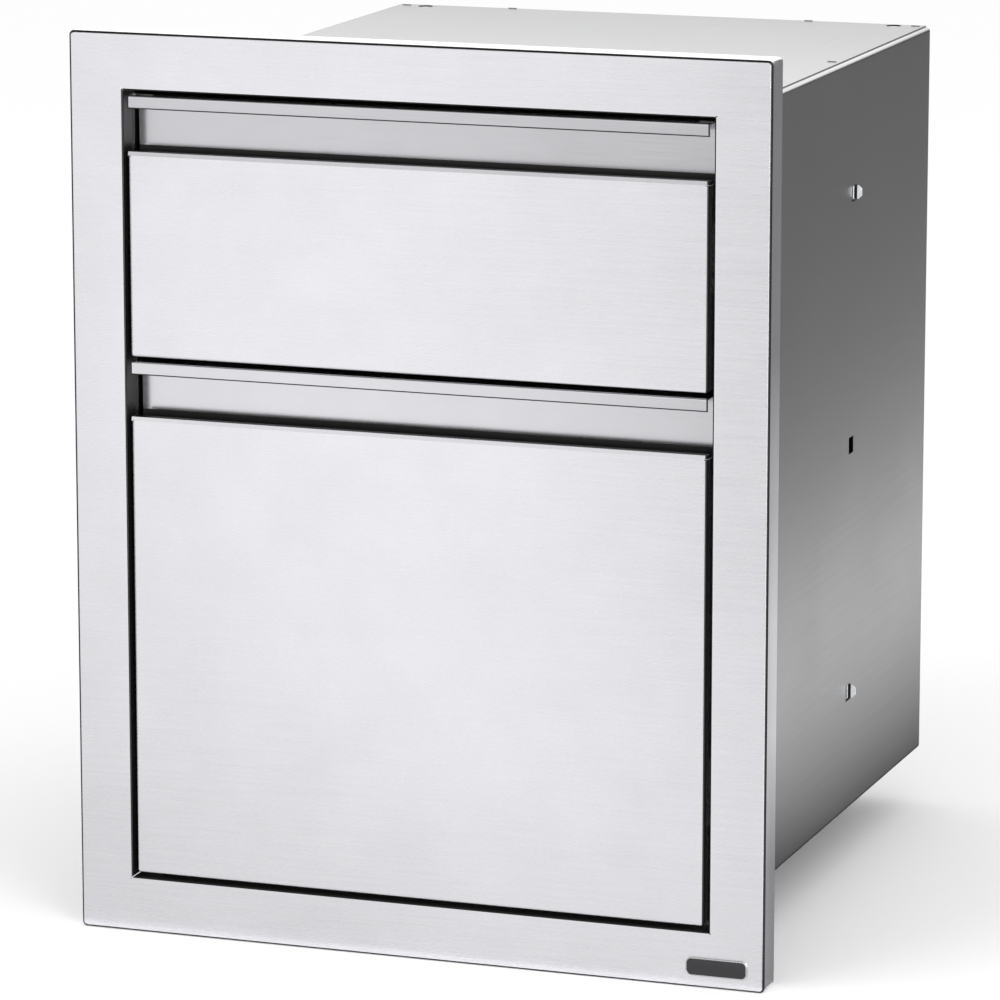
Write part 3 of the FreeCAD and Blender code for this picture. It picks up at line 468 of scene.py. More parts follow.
@dataclass(frozen=True)
class MouldedPlastic:
    """Polypropylene moulded in a spark-eroded mould, which gives it a fine leathery grain.

    The eye sees a matt charcoal black with tiny pits and a slight scuffing up and down.
    """

    name: str
    colour: str = "#2B2C2E"
    pit_size: float = 0.9 * MM
    scuff_length: float = 60 * MM
    scuff_width: float = 1.5 * MM
    scuff_tone: float = 1.5
    scuff_roughness: float = 0.1
    roughness: float = 0.52
    bump: float = 0.05 * MM

    def build(self) -> Material:
        """Make the material.

        Returns:
            A dark plastic with a pitted skin and faint scuffs.
        """
        material, tree, place = new_material(self.name)
        pits = add_node(tree, "ShaderNodeTexNoise", {
            "Vector": place, "Scale": 1 / self.pit_size, "Detail": 2.0, "Roughness": 0.5})
        rubbed = add_node(tree, "ShaderNodeMapping", {
            "Vector": place, "Scale": Grain.ALONG_Z.scale(self.scuff_length, self.scuff_width)})
        scuffs = add_node(tree, "ShaderNodeTexNoise", {
            "Vector": rubbed.outputs[0], "Scale": 1.0, "Detail": 3.0, "Roughness": 0.6})
        tone = add_node(tree, "ShaderNodeMapRange", {
            "Value": scuffs.outputs["Fac"], "From Min": 0.55, "From Max": 0.8, "To Min": 1.0,
            "To Max": self.scuff_tone})
        colour = add_node(tree, "ShaderNodeVectorMath", {
            0: linear(self.colour)[:3], "Scale": tone.outputs[0]}, operation="SCALE")
        dents = add_node(tree, "ShaderNodeBump", {
            "Height": pits.outputs["Fac"], "Strength": 0.8, "Distance": self.bump})
        roughness = add_node(tree, "ShaderNodeMapRange", {
            "Value": scuffs.outputs["Fac"], "From Min": 0.3, "From Max": 0.8,
            "To Min": self.roughness, "To Max": self.roughness + self.scuff_roughness})
        plastic = add_node(tree, "ShaderNodeBsdfPrincipled", {
            "Base Color": colour.outputs[0], "Roughness": roughness.outputs[0], "Normal": dents.outputs[0]})
        add_node(tree, "ShaderNodeOutputMaterial", {"Surface": plastic.outputs[0]})
        return material


@dataclass(frozen=True)
class StudioPaper:
    """Seamless white paper that the object stands on, matt and even."""

    name: str
    colour: str = "#FBFBFB"

    def build(self) -> Material:
        """Make the material.

        Returns:
            A matt white.
        """
        material, tree, _ = new_material(self.name)
        paper = add_node(tree, "ShaderNodeBsdfDiffuse", {"Color": linear(self.colour)})
        add_node(tree, "ShaderNodeOutputMaterial", {"Surface": paper.outputs[0]})
        return material


@dataclass(frozen=True)
class Fade:
    """Change of a studio card's light along one direction.

    The stops give a distance along the direction and the light there.
    """

    along: Point
    stops: tuple[tuple[float, float], ...]

    def light(self, tree: Tree, place: Socket) -> Socket:
        """Work out the light at each place.

        Args:
            tree: Node tree of the card's material.
            place: Object coordinates.

        Returns:
            A socket with the light, blended from stop to stop.
        """
        near, far = self.stops[0][0], self.stops[-1][0]
        reach = add_node(tree, "ShaderNodeVectorMath", {0: place, 1: self.along}, operation="DOT_PRODUCT")
        share = add_node(tree, "ShaderNodeMapRange", {
            "Value": reach.outputs["Value"], "From Min": near, "From Max": far})
        ramp = add_node(tree, "ShaderNodeValToRGB", {0: share.outputs[0]})
        marks = ramp.color_ramp.elements
        while len(marks) < len(self.stops):
            marks.new(0.5)
        for mark, (distance, light) in zip(marks, self.stops):
            mark.position = (distance - near) / (far - near)
            mark.color = (light, light, light, 1.0)
        return ramp.outputs[0]


@dataclass(frozen=True)
class ShadeCard:
    """Flat studio card that only the metal mirrors, as the flags and screens round bright metal do."""

    name: str
    low: Point
    high: Point
    fades: tuple[Fade, ...]

    def build(self) -> None:
        """Stand the card in its place, level or upright as its corners say."""
        middle = (Vector(self.low) + Vector(self.high)) / 2
        size = Vector(self.high) - Vector(self.low)
        upright = size.z > 0.0
        card = add_plane(self.name, middle, size.x, size.z if upright else size.y, upright)
        card.data.materials.append(self.shade())
        card.visible_camera = card.visible_diffuse = False
        card.visible_shadow = card.visible_transmission = False

    def shade(self) -> Material:
        """Make the card's material.

        Returns:
            Plain light, graded by the card's fades.
        """
        material, tree, place = new_material(self.name)
        light = self.fades[0].light(tree, place)
        for fade in self.fades[1:]:
            light = add_node(tree, "ShaderNodeVectorMath", {
                0: light, 1: fade.light(tree, place)}, operation="MULTIPLY").outputs[0]
        card = add_node(tree, "ShaderNodeEmission", {"Color": light, "Strength": 1.0})
        add_node(tree, "ShaderNodeOutputMaterial", {"Surface": card.outputs[0]})
        return material


def dress(node: str, material: Material) -> None:
    """Give a CAD node its finish.

    Args:
        node: Name of the node.
        material: Finish that it shows.
    """
    slots = frame["nodes"][node].data.materials
    slots.clear()
    slots.append(material)
    LOG.info("dressed %s in %s", node, material.name)


def settle(piece: Piece, body: str, material: Material) -> None:
    """Smooth a new piece, give it its finish and let it ride on its body.

    Args:
        piece: Finished mesh, in its place.
        body: Body that carries it.
        material: Finish that it shows.
    """
    deselect_all()
    piece.select_set(True)
    bpy.context.view_layer.objects.active = piece
    bpy.ops.object.shade_smooth_by_angle(angle=SMOOTH_ANGLE)
    piece.data.materials.clear()
    piece.data.materials.append(material)
    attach(piece, body)
    LOG.info("built %s on %s in %s", piece.name, body, material.name)


def add_plane(name: str, middle: Vector | Point, width: float, length: float, upright: bool = False) -> Piece:
    """Start a piece as a flat rectangle.

    Args:
        name: Name of the piece.
        middle: Middle of the rectangle.
        width: Size along X.
        length: Size along Z where it stands upright, facing forwards, or else along Y, facing up.
        upright: Whether it stands upright.

    Returns:
        The rectangle, in object mode.
    """
    deselect_all()
    bpy.ops.mesh.primitive_plane_add(
        size=1.0, location=middle, rotation=(math.pi / 2 if upright else 0.0, 0.0, 0.0))
    plane = bpy.context.object
    plane.name = name
    plane.scale = (width, length, 1.0)
    bpy.ops.object.transform_apply(location=True, rotation=True, scale=True)
    return plane


def add_panel(name: str, middle: Point, width: float, length: float, corner: float, upright: bool) -> Piece:
    """Start a piece as a rectangle with rounded corners, left in edit mode with its face selected.

    Args:
        name: Name of the piece.
        middle: Middle of the panel.
        width: Size along X.
        length: Size along Z or Y, as for a rectangle.
        corner: Corner radius.
        upright: Whether it stands upright.

    Returns:
        The panel.
    """
    panel = add_plane(name, middle, width, length, upright)
    bpy.ops.object.mode_set(mode="EDIT")
    bpy.ops.mesh.select_all(action="SELECT")
    bpy.ops.mesh.bevel(offset=corner, segments=CORNER_STEPS, affect="VERTICES")
    return panel


def select_faces(piece: Piece, wanted: Callable[[bpy.types.MeshPolygon], bool]) -> None:
    """Select, in edit mode, the faces that a test picks.

    Args:
        piece: Mesh that is in edit mode.
        wanted: Test of a face.
    """
    bpy.ops.mesh.select_all(action="DESELECT")
    bpy.ops.object.mode_set(mode="OBJECT")
    for face in piece.data.polygons:
        face.select = wanted(face)
    bpy.ops.object.mode_set(mode="EDIT")


def select_edges(piece: Piece, axis: int, length: float) -> None:
    """Select, in edit mode, the edges that run along an axis for more than a length.

    Args:
        piece: Mesh that is in edit mode.
        axis: 0 for X, 1 for Y and 2 for Z.
        length: Length that they exceed.
    """
    bpy.ops.mesh.select_mode(type="EDGE")
    bpy.ops.mesh.select_all(action="DESELECT")
    bpy.ops.object.mode_set(mode="OBJECT")
    points = piece.data.vertices
    for edge in piece.data.edges:
        run = points[edge.vertices[1]].co - points[edge.vertices[0]].co
        edge.select = abs(run[axis]) > length
    bpy.ops.object.mode_set(mode="EDIT")


def apply_modifier(piece: Piece, kind: str, **settings: object) -> None:
    """Add a modifier to the active piece and apply it.

    Args:
        piece: Active mesh in object mode.
        kind: Blender's type name of the modifier.
        settings: Properties of the modifier.
    """
    modifier = piece.modifiers.new(kind.lower(), kind)
    for name, value in settings.items():
        setattr(modifier, name, value)
    bpy.ops.object.modifier_apply(modifier=modifier.name)


@dataclass
class FaceFrame:
    """Folded face frame: brushed on its face and rim, with painted shade along its bends and in its opening.
    """

    node: str = "face_frame"
    bend_start: float = 0.15 * MM
    left_bend_start: float = 0.04 * MM
    bend_depth: float = 1.8 * MM
    bend_width: float = 3.6 * MM
    return_width: float = 1.5 * MM
    return_skin: float = 0.5 * MM
    # Colour of the painted shade on the bends and in the opening
    painted_shade_colour: str = "#3A3939"

    def dress(self) -> None:
        """Give the frame its brushed finish."""
        low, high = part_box(self.node)
        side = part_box("cabinet_side_right")[1].x
        border = high.x - side
        rim_start, bend = low.y + self.bend_depth, low.y + self.bend_start
        opening = ((self.return_width, low.y + self.left_bend_start, rim_start),
                   (self.return_skin, rim_start, BEYOND))
        # Painted shade: dark colour on the opening's returns and along the four outer bends, in place of the
        # shade in the gaps and the dark lines that the bends mirror
        painted_shades = (
            *(Region((-side - width, start, low.z + border - width),
                     (side + width, end, high.z - border + width)) for width, start, end in opening),
            Region((high.x - self.bend_width, bend, -BEYOND), (BEYOND, rim_start, BEYOND)),
            Region((-BEYOND, low.y + self.left_bend_start, -BEYOND),
                   (low.x + self.bend_width, rim_start, BEYOND)),
            Region((-BEYOND, bend, high.z - self.bend_width), (BEYOND, rim_start, BEYOND)),
            Region((-BEYOND, bend, -BEYOND), (BEYOND, rim_start, low.z + self.bend_width)),
        )
        dress(self.node, BrushedStainless(
            "brushed_stainless_frame", painted_shades, rim_start, self.painted_shade_colour).build())


@dataclass
class BlankPlate:
    """Small plate on the frame's lower right corner: a bright tray with a black enamel filling."""

    node: str = "blank_plate"
    corner: float = 4.0 * MM
    border: float = 0.9 * MM
    tray_depth: float = 0.5 * MM
    sink: float = 0.12 * MM
    edge: float = 0.3 * MM
    facing: float = 0.9

    def build(self, steel: Material, enamel: Material) -> None:
        """Model the tray and its filling.

        Args:
            steel: Finish of the tray.
            enamel: Finish of the filling.
        """
        low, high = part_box(self.node)
        middle = (low + high) / 2
        width, height, thickness = high.x - low.x, high.z - low.z, high.y - low.y
        tray = add_panel("plate_tray", (middle.x, high.y, middle.z), width, height, self.corner, upright=True)
        self.thicken(thickness)
        select_faces(tray, lambda face: face.normal.y < -self.facing)
        bpy.ops.mesh.inset(thickness=self.border)
        bpy.ops.mesh.extrude_region_move(TRANSFORM_OT_translate={"value": (0.0, self.tray_depth, 0.0)})
        bpy.ops.object.mode_set(mode="OBJECT")
        apply_modifier(tray, "BEVEL", width=self.edge, segments=3, limit_method="ANGLE",
                       angle_limit=SHARP_ANGLE)
        settle(tray, "cabinet", steel)
        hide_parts(self.node)

        inner = (middle.x, low.y + self.tray_depth, middle.z)
        filling = add_panel("plate_enamel", inner, width - 2 * self.border, height - 2 * self.border,
                            self.corner - self.border, upright=True)
        self.thicken(self.tray_depth - self.sink)
        bpy.ops.object.mode_set(mode="OBJECT")
        apply_modifier(filling, "BEVEL", width=self.sink, segments=2, limit_method="ANGLE",
                       angle_limit=SHARP_ANGLE)
        settle(filling, "cabinet", enamel)

    def thicken(self, thickness: float) -> None:
        """Draw the selected panel forwards into a solid.

        Args:
            thickness: How far the panel comes forwards.
        """
        bpy.ops.mesh.extrude_region_move(TRANSFORM_OT_translate={"value": (0.0, -thickness, 0.0)})
        bpy.ops.mesh.select_all(action="SELECT")
        bpy.ops.mesh.normals_make_consistent(inside=False)


@dataclass
class Drawer:
    """One drawer: its brushed front and lip, and the moving members of its slides."""

    name: str
    lip_colour: str
    lip_height: float = 8.8 * MM
    # Width of the painted shade along the lip's lower edge and ends
    edge_shade: float = 0.85 * MM
    front_sheet: float = 1.0 * MM
    side_bend: float = 1.5 * MM
    bend_start: float = 0.1 * MM
    return_depth: float = 2.0 * MM
    bend_depth: float = 3.0 * MM
    # How far the painted shadow on the recess's back reaches above the front pan
    pocket_shadow_rise: float = 2.0 * MM
    # Colours of the painted shade on the front pan and on the lip sheet
    pan_shade_colour: str = "#383737"
    lip_shade_colour: str = "#434242"
    lip_roughness: float = 0.19
    lip_sheen_spread: float = 0.3

    def dress(self, zinc: Material) -> None:
        """Give the drawer's show faces and its slides' moving members their finishes.

        Args:
            zinc: Finish of the slides' middle and inner members.
        """
        self.dress_pan()
        self.dress_lip()
        for member in ("middle", "inner"):
            for side in ("left", "right"):
                dress(f"{self.name}_slide_{member}_{side}", zinc)

    def dress_pan(self) -> None:
        """Brush the front and its returns, with painted shade on the top return and the right bend."""
        low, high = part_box(f"{self.name}_front_pan")
        # Painted shade: dark colour behind the front sheet along the top and on the right bend, in place of
        # the shade in the gaps
        painted_shades = (
            Region((-BEYOND, low.y + self.front_sheet, high.z - self.return_depth), (BEYOND, BEYOND, BEYOND)),
            Region((high.x - self.side_bend, low.y + self.bend_start, -BEYOND),
                   (BEYOND, low.y + self.bend_depth, BEYOND)),
        )
        dress(f"{self.name}_front_pan", BrushedStainless(
            f"brushed_stainless_{self.name}_front", painted_shades, low.y + self.front_sheet,
            self.pan_shade_colour).build())

    def dress_lip(self) -> None:
        """Brush the lip and the recess's back down to the front, with painted shade along the lip's edges and
        a painted shadow low on the recess's back.
        """
        low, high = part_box(f"{self.name}_lip_sheet")
        pan_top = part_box(f"{self.name}_front_pan")[1].z
        front, rear = low.y - self.front_sheet, low.y + self.front_sheet
        lip_low = high.z - self.lip_height
        painted_shades = (
            # Painted shade: thin dark bands along the lip's lower edge and both ends, in place of the shade
            # lines there
            Region((-BEYOND, front, lip_low - self.edge_shade), (BEYOND, rear, lip_low + self.edge_shade)),
            Region((high.x - self.edge_shade, front, -BEYOND), (BEYOND, rear, BEYOND)),
            Region((-BEYOND, front, -BEYOND), (low.x + self.edge_shade, rear, BEYOND)),
            # Painted shadow: the recess's back goes dark just above the front pan, where the pocket's shade
            # falls
            Region((-BEYOND, rear, -BEYOND), (BEYOND, BEYOND, pan_top + self.pocket_shadow_rise)),
        )
        dress(f"{self.name}_lip_sheet", BrushedStainless(
            f"brushed_stainless_{self.name}_lip", painted_shades, high.y, self.lip_shade_colour, self.lip_colour,
            sheen=Sheen.SIDEWAYS, roughness=self.lip_roughness, sheen_spread=self.lip_sheen_spread).build())


@dataclass
class TrashBin:
    """Moulded lift-out bin: flat rim, stacking shoulder, fluted walls, hand holes and raised floor."""

    node: str = "front_bin"
    wall: float = 2.2 * MM
    rim: float = 8.0 * MM
    rim_thickness: float = 2.6 * MM
    corner: float = 18.2 * MM
    taper: float = 11.0 * MM
    shoulder_drop: float = 36.0 * MM
    shoulder_step: float = 1.8 * MM
    flute_drop: float = 48.0 * MM
    flute_rise: float = 22.0 * MM
    flute_margin: float = 5.0 * MM
    flute_depth: float = 2.2 * MM
    long_flutes: int = 5
    short_flutes: int = 3
    foot_width: float = 13.0 * MM
    floor_lift: float = 2.5 * MM
    hole_width: float = 84.0 * MM
    hole_height: float = 22.0 * MM
    hole_drop: float = 19.0 * MM
    hole_round: float = 0.48
    hole_reach: float = 0.5
    steep: float = 0.3
    facing: float = 0.99
    bend_radius: float = 1.2 * MM
    bend_angle: float = math.radians(30)
    edge: float = 0.5 * MM

    def build(self, plastic: Material) -> Piece:
        """Model the bin from its rim down.

        Args:
            plastic: Finish of the bin.

        Returns:
            The bin, which stands for its CAD node.
        """
        low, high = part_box(self.node)
        middle = (low + high) / 2
        seat = high.z - self.rim_thickness
        top = seat + self.wall
        floor = low.z + self.wall
        bin_ = add_panel(self.node + "_moulding", (0.0, middle.y, top), high.x - low.x, high.y - low.y,
                         self.corner, upright=False)
        self.divide_sides(bin_)
        bpy.ops.mesh.select_all(action="SELECT")
        bpy.ops.mesh.inset(thickness=self.rim + self.wall)
        half = Vector((high.x - self.rim - self.wall, (high.y - low.y) / 2 - self.rim - self.wall))
        lean = self.taper / (seat - low.z)
        step = self.shoulder_step
        foot = self.taper + 2 * step
        panel = foot + self.foot_width
        place = Vector((0.0, middle.y, top))
        inset = 0.0
        for level, inset_next in (
                (top - self.shoulder_drop, lean * self.shoulder_drop),
                (top - self.shoulder_drop - step, lean * self.shoulder_drop + step),
                (top - self.flute_drop, lean * self.flute_drop + step),
                (floor + self.flute_rise, self.taper + step - lean * self.flute_rise),
                (floor + step, self.taper + step),
                (floor, foot),
                (floor, panel),
                (floor + self.floor_lift, panel + self.floor_lift),
                (floor + self.floor_lift, panel + self.foot_width),
                (floor + self.floor_lift / 2, panel + self.foot_width + self.floor_lift)):
            self.draw_face(place, level, (half.x - inset_next) / (half.x - inset),
                           (half.y - inset_next) / (half.y - inset))
            place.z = level
            inset = inset_next
        self.press_flutes(bin_, floor + self.flute_rise, top - self.flute_drop)
        bpy.ops.object.mode_set(mode="OBJECT")
        apply_modifier(bin_, "BEVEL", width=self.bend_radius, segments=3, limit_method="ANGLE",
                       angle_limit=self.bend_angle)
        apply_modifier(bin_, "SOLIDIFY", thickness=self.wall, offset=-1.0, use_even_offset=True)
        self.cut_hand_holes(bin_, middle.y, top - self.hole_drop)
        apply_modifier(bin_, "BEVEL", width=self.edge, segments=2, limit_method="ANGLE",
                       angle_limit=SHARP_ANGLE)
        settle(bin_, self.node, plastic)
        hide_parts(self.node)
        return bin_

    def divide_sides(self, bin_: Piece) -> None:
        """Cut the panel's straight edges into lands and flutes.

        Args:
            bin_: Panel in edit mode.
        """
        for axis, flutes in ((0, self.long_flutes), (1, self.short_flutes)):
            select_edges(bin_, axis, 2 * self.corner)
            bpy.ops.mesh.subdivide(number_cuts=2 * flutes)
        bpy.ops.mesh.select_mode(type="FACE")

    def draw_face(self, place: Vector, level: float, widen: float, lengthen: float) -> None:
        """Draw the selected face to a new level and size.

        Args:
            place: Middle of the face now.
            level: Height that it goes to.
            widen: Its new width as a share of the old one.
            lengthen: Its new length as a share of the old one.
        """
        bpy.ops.mesh.extrude_region_move(TRANSFORM_OT_translate={"value": (0.0, 0.0, level - place.z)})
        bpy.ops.transform.resize(value=(widen, lengthen, 1.0), center_override=(place.x, place.y, level))

    def press_flutes(self, bin_: Piece, low: float, high: float) -> None:
        """Press every second strip of the walls inwards.

        Args:
            bin_: Bin in edit mode.
            low: Height of the flutes' lower ends.
            high: Height of the flutes' upper ends.
        """
        bin_.update_from_editmode()
        walls = [face for face in bin_.data.polygons
                 if abs(face.normal.z) < self.steep and low < face.center.z < high]
        chosen = set()
        for axis, flutes in ((0, self.long_flutes), (1, self.short_flutes)):
            across = 1 - axis
            for way in (-1, 1):
                strips = sorted((face for face in walls if face.normal[across] * way > self.facing),
                                key=lambda face: face.center[axis])
                chosen.update(face.index for face in strips[1:2 * flutes:2])
        select_faces(bin_, lambda face: face.index in chosen)
        bpy.ops.mesh.inset(thickness=self.flute_margin, depth=self.flute_depth, use_individual=True)

    def cut_hand_holes(self, bin_: Piece, middle: float, level: float) -> None:
        """Cut a long hole through both short walls.

        Args:
            bin_: Bin in object mode.
            middle: The bin's middle along Y.
            level: Height of the holes' middle.
        """
        deselect_all()
        bpy.ops.mesh.primitive_cube_add(size=1.0, location=(0.0, middle, level))
        cutter = bpy.context.object
        cutter.scale = (self.hole_reach, self.hole_width, self.hole_height)
        bpy.ops.object.transform_apply(location=True, rotation=True, scale=True)
        bpy.ops.object.mode_set(mode="EDIT")
        select_edges(cutter, 0, self.hole_reach / 2)
        bpy.ops.mesh.bevel(offset=self.hole_round * self.hole_height, segments=CORNER_STEPS)
        bpy.ops.mesh.select_mode(type="FACE")
        bpy.ops.object.mode_set(mode="OBJECT")
        deselect_all()
        bin_.select_set(True)
        bpy.context.view_layer.objects.active = bin_
        apply_modifier(bin_, "BOOLEAN", operation="DIFFERENCE", object=cutter, solver="EXACT")
        bpy.data.objects.remove(cutter)

    def copy_to(self, bin_: Piece, node: str) -> None:
        """Copy the finished bin to the place of another node.

        Args:
            bin_: Finished bin.
            node: Node, and body, that the copy stands for.
        """
        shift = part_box(node)[0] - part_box(self.node)[0]
        twin = bin_.copy()
        twin.data = bin_.data.copy()
        twin.name = node + "_moulding"
        bpy.context.scene.collection.objects.link(twin)
        twin.data.transform(Matrix.Translation(shift))
        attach(twin, node)
        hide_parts(node)
        LOG.info("copied %s to %s", bin_.name, twin.name)


@dataclass
class Studio:
    """Pale floor, soft light and the camera."""

    lens: float = 204.2
    sensor: float = 36.0
    camera_place: Point = (1.2665, -3.4208, 1.0624)
    yaw: float = 19.554
    pitch: float = 11.701
    floor_size: float = 40.0
    world_light: float = 1.0
    lamp_aim: Point = (0.0, 0.1, 0.3)
    key_place: Point = (-1.8, -2.6, 3.2)
    key_size: float = 2.4
    key_power: float = 34.0
    fill_place: Point = (1.9, -1.9, 0.7)
    fill_size: float = 1.2
    fill_power: float = 36.0
    card_near: float = 0.2418
    card_middle: float = 0.95
    card_far: float = 6.0
    card_front: float = -4.0
    card_rear: float = 8.0
    card_rise: float = 2 * MM
    card_start: float = 0.03
    side_start: float = -0.12
    rim_side: float = 241.4 * MM
    rim_reach: float = 10 * MM
    rim_back: float = 3 * MM
    rim_height: float = 0.615
    floor_across: Point = (1.0, -0.3587, 0.0)
    floor_upwards: Point = (0.35, -0.343, 0.0)

    def build(self) -> None:
        """Set up everything that isn't part of the object."""
        self.build_world()
        self.build_floor()
        self.build_lamp("key_box", self.key_place, self.key_size, self.key_power)
        self.build_lamp("fill_box", self.fill_place, self.fill_size, self.fill_power)
        self.build_cards()
        self.build_camera()

    def build_world(self) -> None:
        """Surround the object with even white light."""
        scene = bpy.context.scene
        scene.view_settings.view_transform = "Standard"
        world = bpy.data.worlds.new("white_studio")
        scene.world = world
        world.use_nodes = True
        world.node_tree.nodes.clear()
        sky = add_node(world.node_tree, "ShaderNodeBackground", {
            "Color": (1.0, 1.0, 1.0, 1.0), "Strength": self.world_light})
        add_node(world.node_tree, "ShaderNodeOutputWorld", {"Surface": sky.outputs[0]})

    def build_floor(self) -> None:
        """Lay the floor under the frame's bottom edge."""
        floor = add_plane("studio_floor", (0.0, 0.0, 0.0), self.floor_size, self.floor_size)
        floor.data.materials.append(StudioPaper("seamless_paper").build())

    def build_lamp(self, name: str, place: Point, size: float, power: float) -> None:
        """Hang one soft lamp that faces the object.

        Args:
            name: Name of the lamp.
            place: Middle of the lamp.
            size: Length of its sides.
            power: Power in watts.
        """
        data = bpy.data.lights.new(name, "AREA")
        data.shape = "SQUARE"
        data.size = size
        data.energy = power
        lamp = bpy.data.objects.new(name, data)
        lamp.location = place
        aim = Vector(self.lamp_aim) - Vector(place)
        lamp.rotation_euler = aim.to_track_quat("-Z", "Y").to_euler()
        bpy.context.scene.collection.objects.link(lamp)

    def build_cards(self) -> None:
        """Set the cards: glow beside the side, soft middle on the fronts, dark bends, bright top and tabs."""
        near, middle, far = self.card_near, self.card_middle, self.card_far
        front, rear, rise = self.card_front, self.card_rear, self.card_rise
        start, side, height = self.card_start, self.side_start, self.rim_height
        glow = ((near, 0.18), (0.41, 1.05), (0.50, 0.93), (0.64, 0.31), (0.76, 0.23), (far, 0.08))
        right, left = Fade(RIGHT, glow), Fade(LEFT, glow)
        foot = Fade(BACK, ((side, 1.6), (0.02, 1.6), (0.15, 0.65), (0.45, 1.0), (rear, 1.0)))
        outwards = Fade(RIGHT, ((near, 1.1), (0.5, 1.3), (1.2, 1.3), (far, 0.9)))
        dark = Fade(UP, ((0.0, 0.05), (3.0, 0.2)))
        forwards = Fade(FORWARDS, (
            (0.0, 0.10), (1.0, 0.10), (1.5, 0.40), (2.1, 0.94), (2.8, 1.0), (4.0, 1.0)))
        across = Fade(self.floor_across, (
            (-0.9, 0.4), (-0.6, 0.6), (-0.44, 1.11), (0.04, 1.13), (0.32, 0.84), (0.5, 0.45), (0.9, 0.35)))
        upwards = Fade(self.floor_upwards, (
            (-0.05, 0.67), (0.04, 0.73), (0.12, 0.92), (0.25, 1.0), (0.53, 1.0), (0.7, 0.7), (0.76, 0.64)))
        backlight = Fade(UP, (
            (0.65, 0.58), (0.73, 0.92), (0.80, 1.75), (0.86, 2.4), (0.94, 1.7), (1.1, 1.3), (1.6, 1.2)))
        beside = Fade(UP, (
            (0.0, 0.27), (0.08, 0.27), (0.17, 0.72), (0.24, 0.72), (0.42, 0.24), (height, 0.2)))
        for card in (
                ShadeCard("right_card", (near, side, rise), (far, rear, rise), (right, foot)),
                ShadeCard("left_card", (-middle, start, rise), (-near, rear, rise), (left,)),
                ShadeCard("far_left_card", (-far, -1.6, rise), (-middle, rear, rise), (left,)),
                ShadeCard("front_right_card", (near, front, rise), (far, side, rise), (outwards,)),
                ShadeCard("rear_right_card", (0.3, rear, 0.0), (far, rear, 3.0), (dark,)),
                ShadeCard("under_card", (-near, start, rise), (near, rear, rise), (dark,)),
                ShadeCard("top_card", (-2.2, front, 1.5), (0.4, 0.4, 1.5), (forwards,)),
                ShadeCard("front_card", (-2.6, front, rise), (near, -start, rise), (across, upwards)),
                ShadeCard("back_card", (-2.2, 1.2, 0.65), (0.9, 1.2, 1.6), (backlight,)),
                ShadeCard("rim_card", (self.rim_side, self.rim_back, 0.0),
                          (near + self.rim_reach, self.rim_back, height), (beside,))):
            card.build()

    def build_camera(self) -> None:
        """Point the camera as in the photograph."""
        data = bpy.data.cameras.new("photo_camera")
        data.lens = self.lens
        data.sensor_width = self.sensor
        camera = bpy.data.objects.new("photo_camera", data)
        camera.location = self.camera_place
        camera.rotation_euler = (math.radians(90 - self.pitch), 0.0, math.radians(self.yaw))
        bpy.context.scene.collection.objects.link(camera)
        bpy.context.scene.camera = camera


def tab_roots(inside: float = 1.2 * MM, outside: float = 0.9 * MM) -> tuple[Region, ...]:
    """Find where the slides' hook tabs pass through the cabinet's sides, where the zinc gets painted shade.

    Args:
        inside: How far the painted shade reaches in from a side's outer face.
        outside: How far it reaches out.

    Returns:
        A thin box at each side of the cabinet.
    """
    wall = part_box("cabinet_side_right")[1].x
    return (Region((wall - inside, -BEYOND, -BEYOND), (wall + outside, BEYOND, BEYOND)),
            Region((-wall - outside, -BEYOND, -BEYOND), (-wall + inside, BEYOND, BEYOND)))


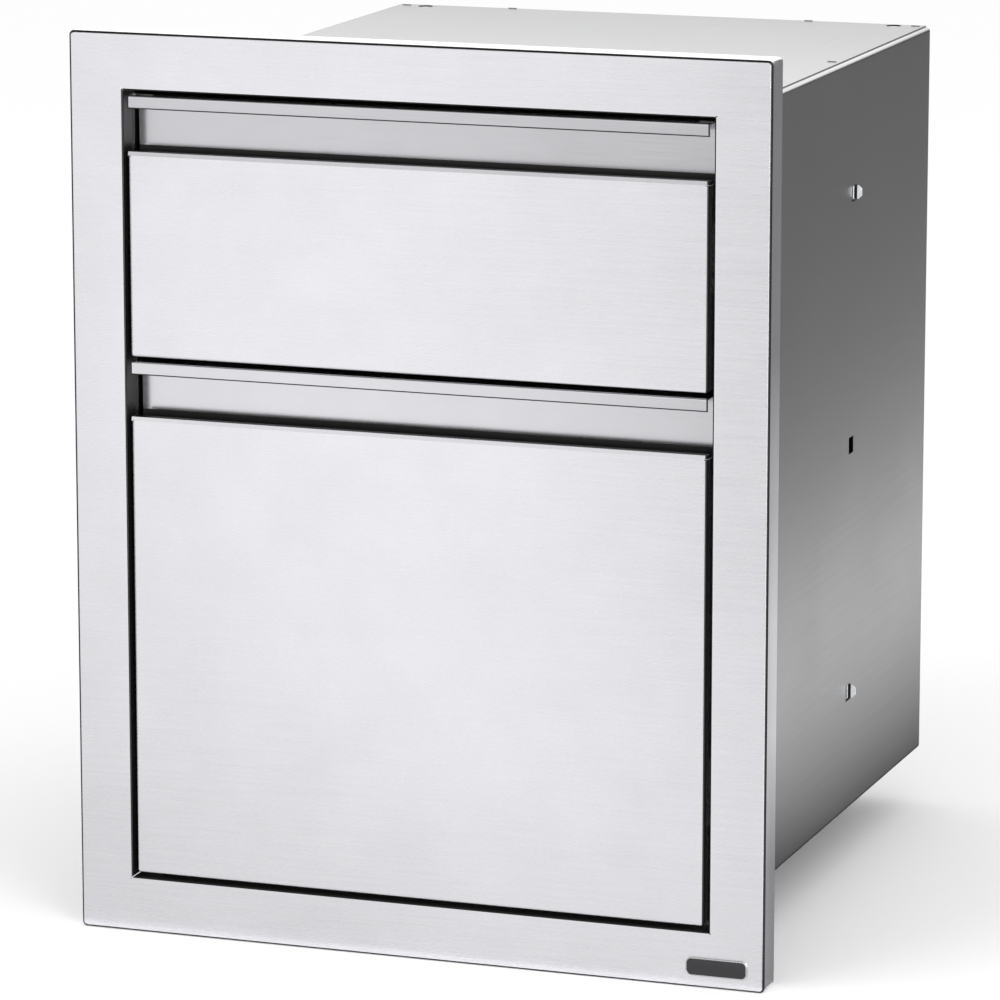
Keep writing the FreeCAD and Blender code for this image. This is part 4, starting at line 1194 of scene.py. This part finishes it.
def hole_walls(inwards: float = 24.7 * MM, forwards: float = 8.5 * MM, reach: float = 6.5 * MM,
               sheet: float = 1.0 * MM, skin: float = 0.05 * MM) -> tuple[Region, ...]:
    """Find the walls of the round holes near the top sheet's back corners, where the sheet gets painted
    shade.

    Args:
        inwards: From a side of the cabinet to a hole's middle.
        forwards: From the back of the cabinet to a hole's middle.
        reach: Half the width of the box around a hole.
        sheet: Thickness of the top sheet.
        skin: What is left clear at both faces of the sheet.

    Returns:
        A flat box around each hole, inside the sheet.
    """
    wall, (back, top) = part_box("cabinet_side_right")[1].x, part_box("cabinet_top")[1].yz
    back = max(back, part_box("cabinet_back")[1].y)
    return tuple(
        Region((side * (wall - inwards) - reach, back - forwards - reach, top - sheet + skin),
               (side * (wall - inwards) + reach, back - forwards + reach, top - skin))
        for side in (-1, 1))


def main() -> None:
    """Build every sub-assembly in order and dress it."""
    logging.basicConfig(level=logging.INFO, format="%(name)s: %(message)s")
    finishes = {
        "cabinet_stainless": MillStainless("mill_stainless_cabinet", roughness=0.25).build(),
        "drawer_stainless": MillStainless("mill_stainless_drawer", colour="#C4C4C4").build(),
        # The outer members, whose hook tabs show on the cabinet's sides, take the paler default zinc as a
        # painted highlight; the moving members below keep a plain zinc colour
        "zinc_plated_steel": ZincPlate("zinc_plate_with_painted_highlight", tab_roots()).build(),
        "bearing_steel": PolishedSteel("polished_bearing_steel").build(),
        "rivet_steel": PolishedSteel("turned_rivet_steel", roughness=0.25).build(),
        "black_enamel": BlackEnamel("black_enamel").build(),
        "bin_plastic": MouldedPlastic("moulded_polypropylene").build(),
    }
    # The brushed show faces get their finishes from their own classes
    for subpart in frame["record"]["subparts"]:
        finish = finishes.get(subpart["material_slot"])
        if finish:
            dress(subpart["node"], finish)
    # The top sheet's hole walls get painted shade
    dress("cabinet_top", MillStainless("mill_stainless_top", hole_walls(), roughness=0.25).build())
    FaceFrame().dress()
    BlankPlate().build(finishes["rivet_steel"], finishes["black_enamel"])
    rolled_zinc = ZincPlate("rolled_zinc_plate", tab_roots(), colour="#BFC2C5", metallic=0.8).build()
    # Lip colours: the steel's own colour with painted shade, darker than the fronts and darker on the upper
    # lip than the lower, for the shade in their recesses
    Drawer("upper", lip_colour="#D6D5D9").dress(rolled_zinc)
    Drawer("lower", lip_colour="#DCDBDF").dress(rolled_zinc)
    front_bin = TrashBin()
    front_bin.copy_to(front_bin.build(finishes["bin_plastic"]), "rear_bin")
    Studio().build()


if __name__ == "__main__":
    main()
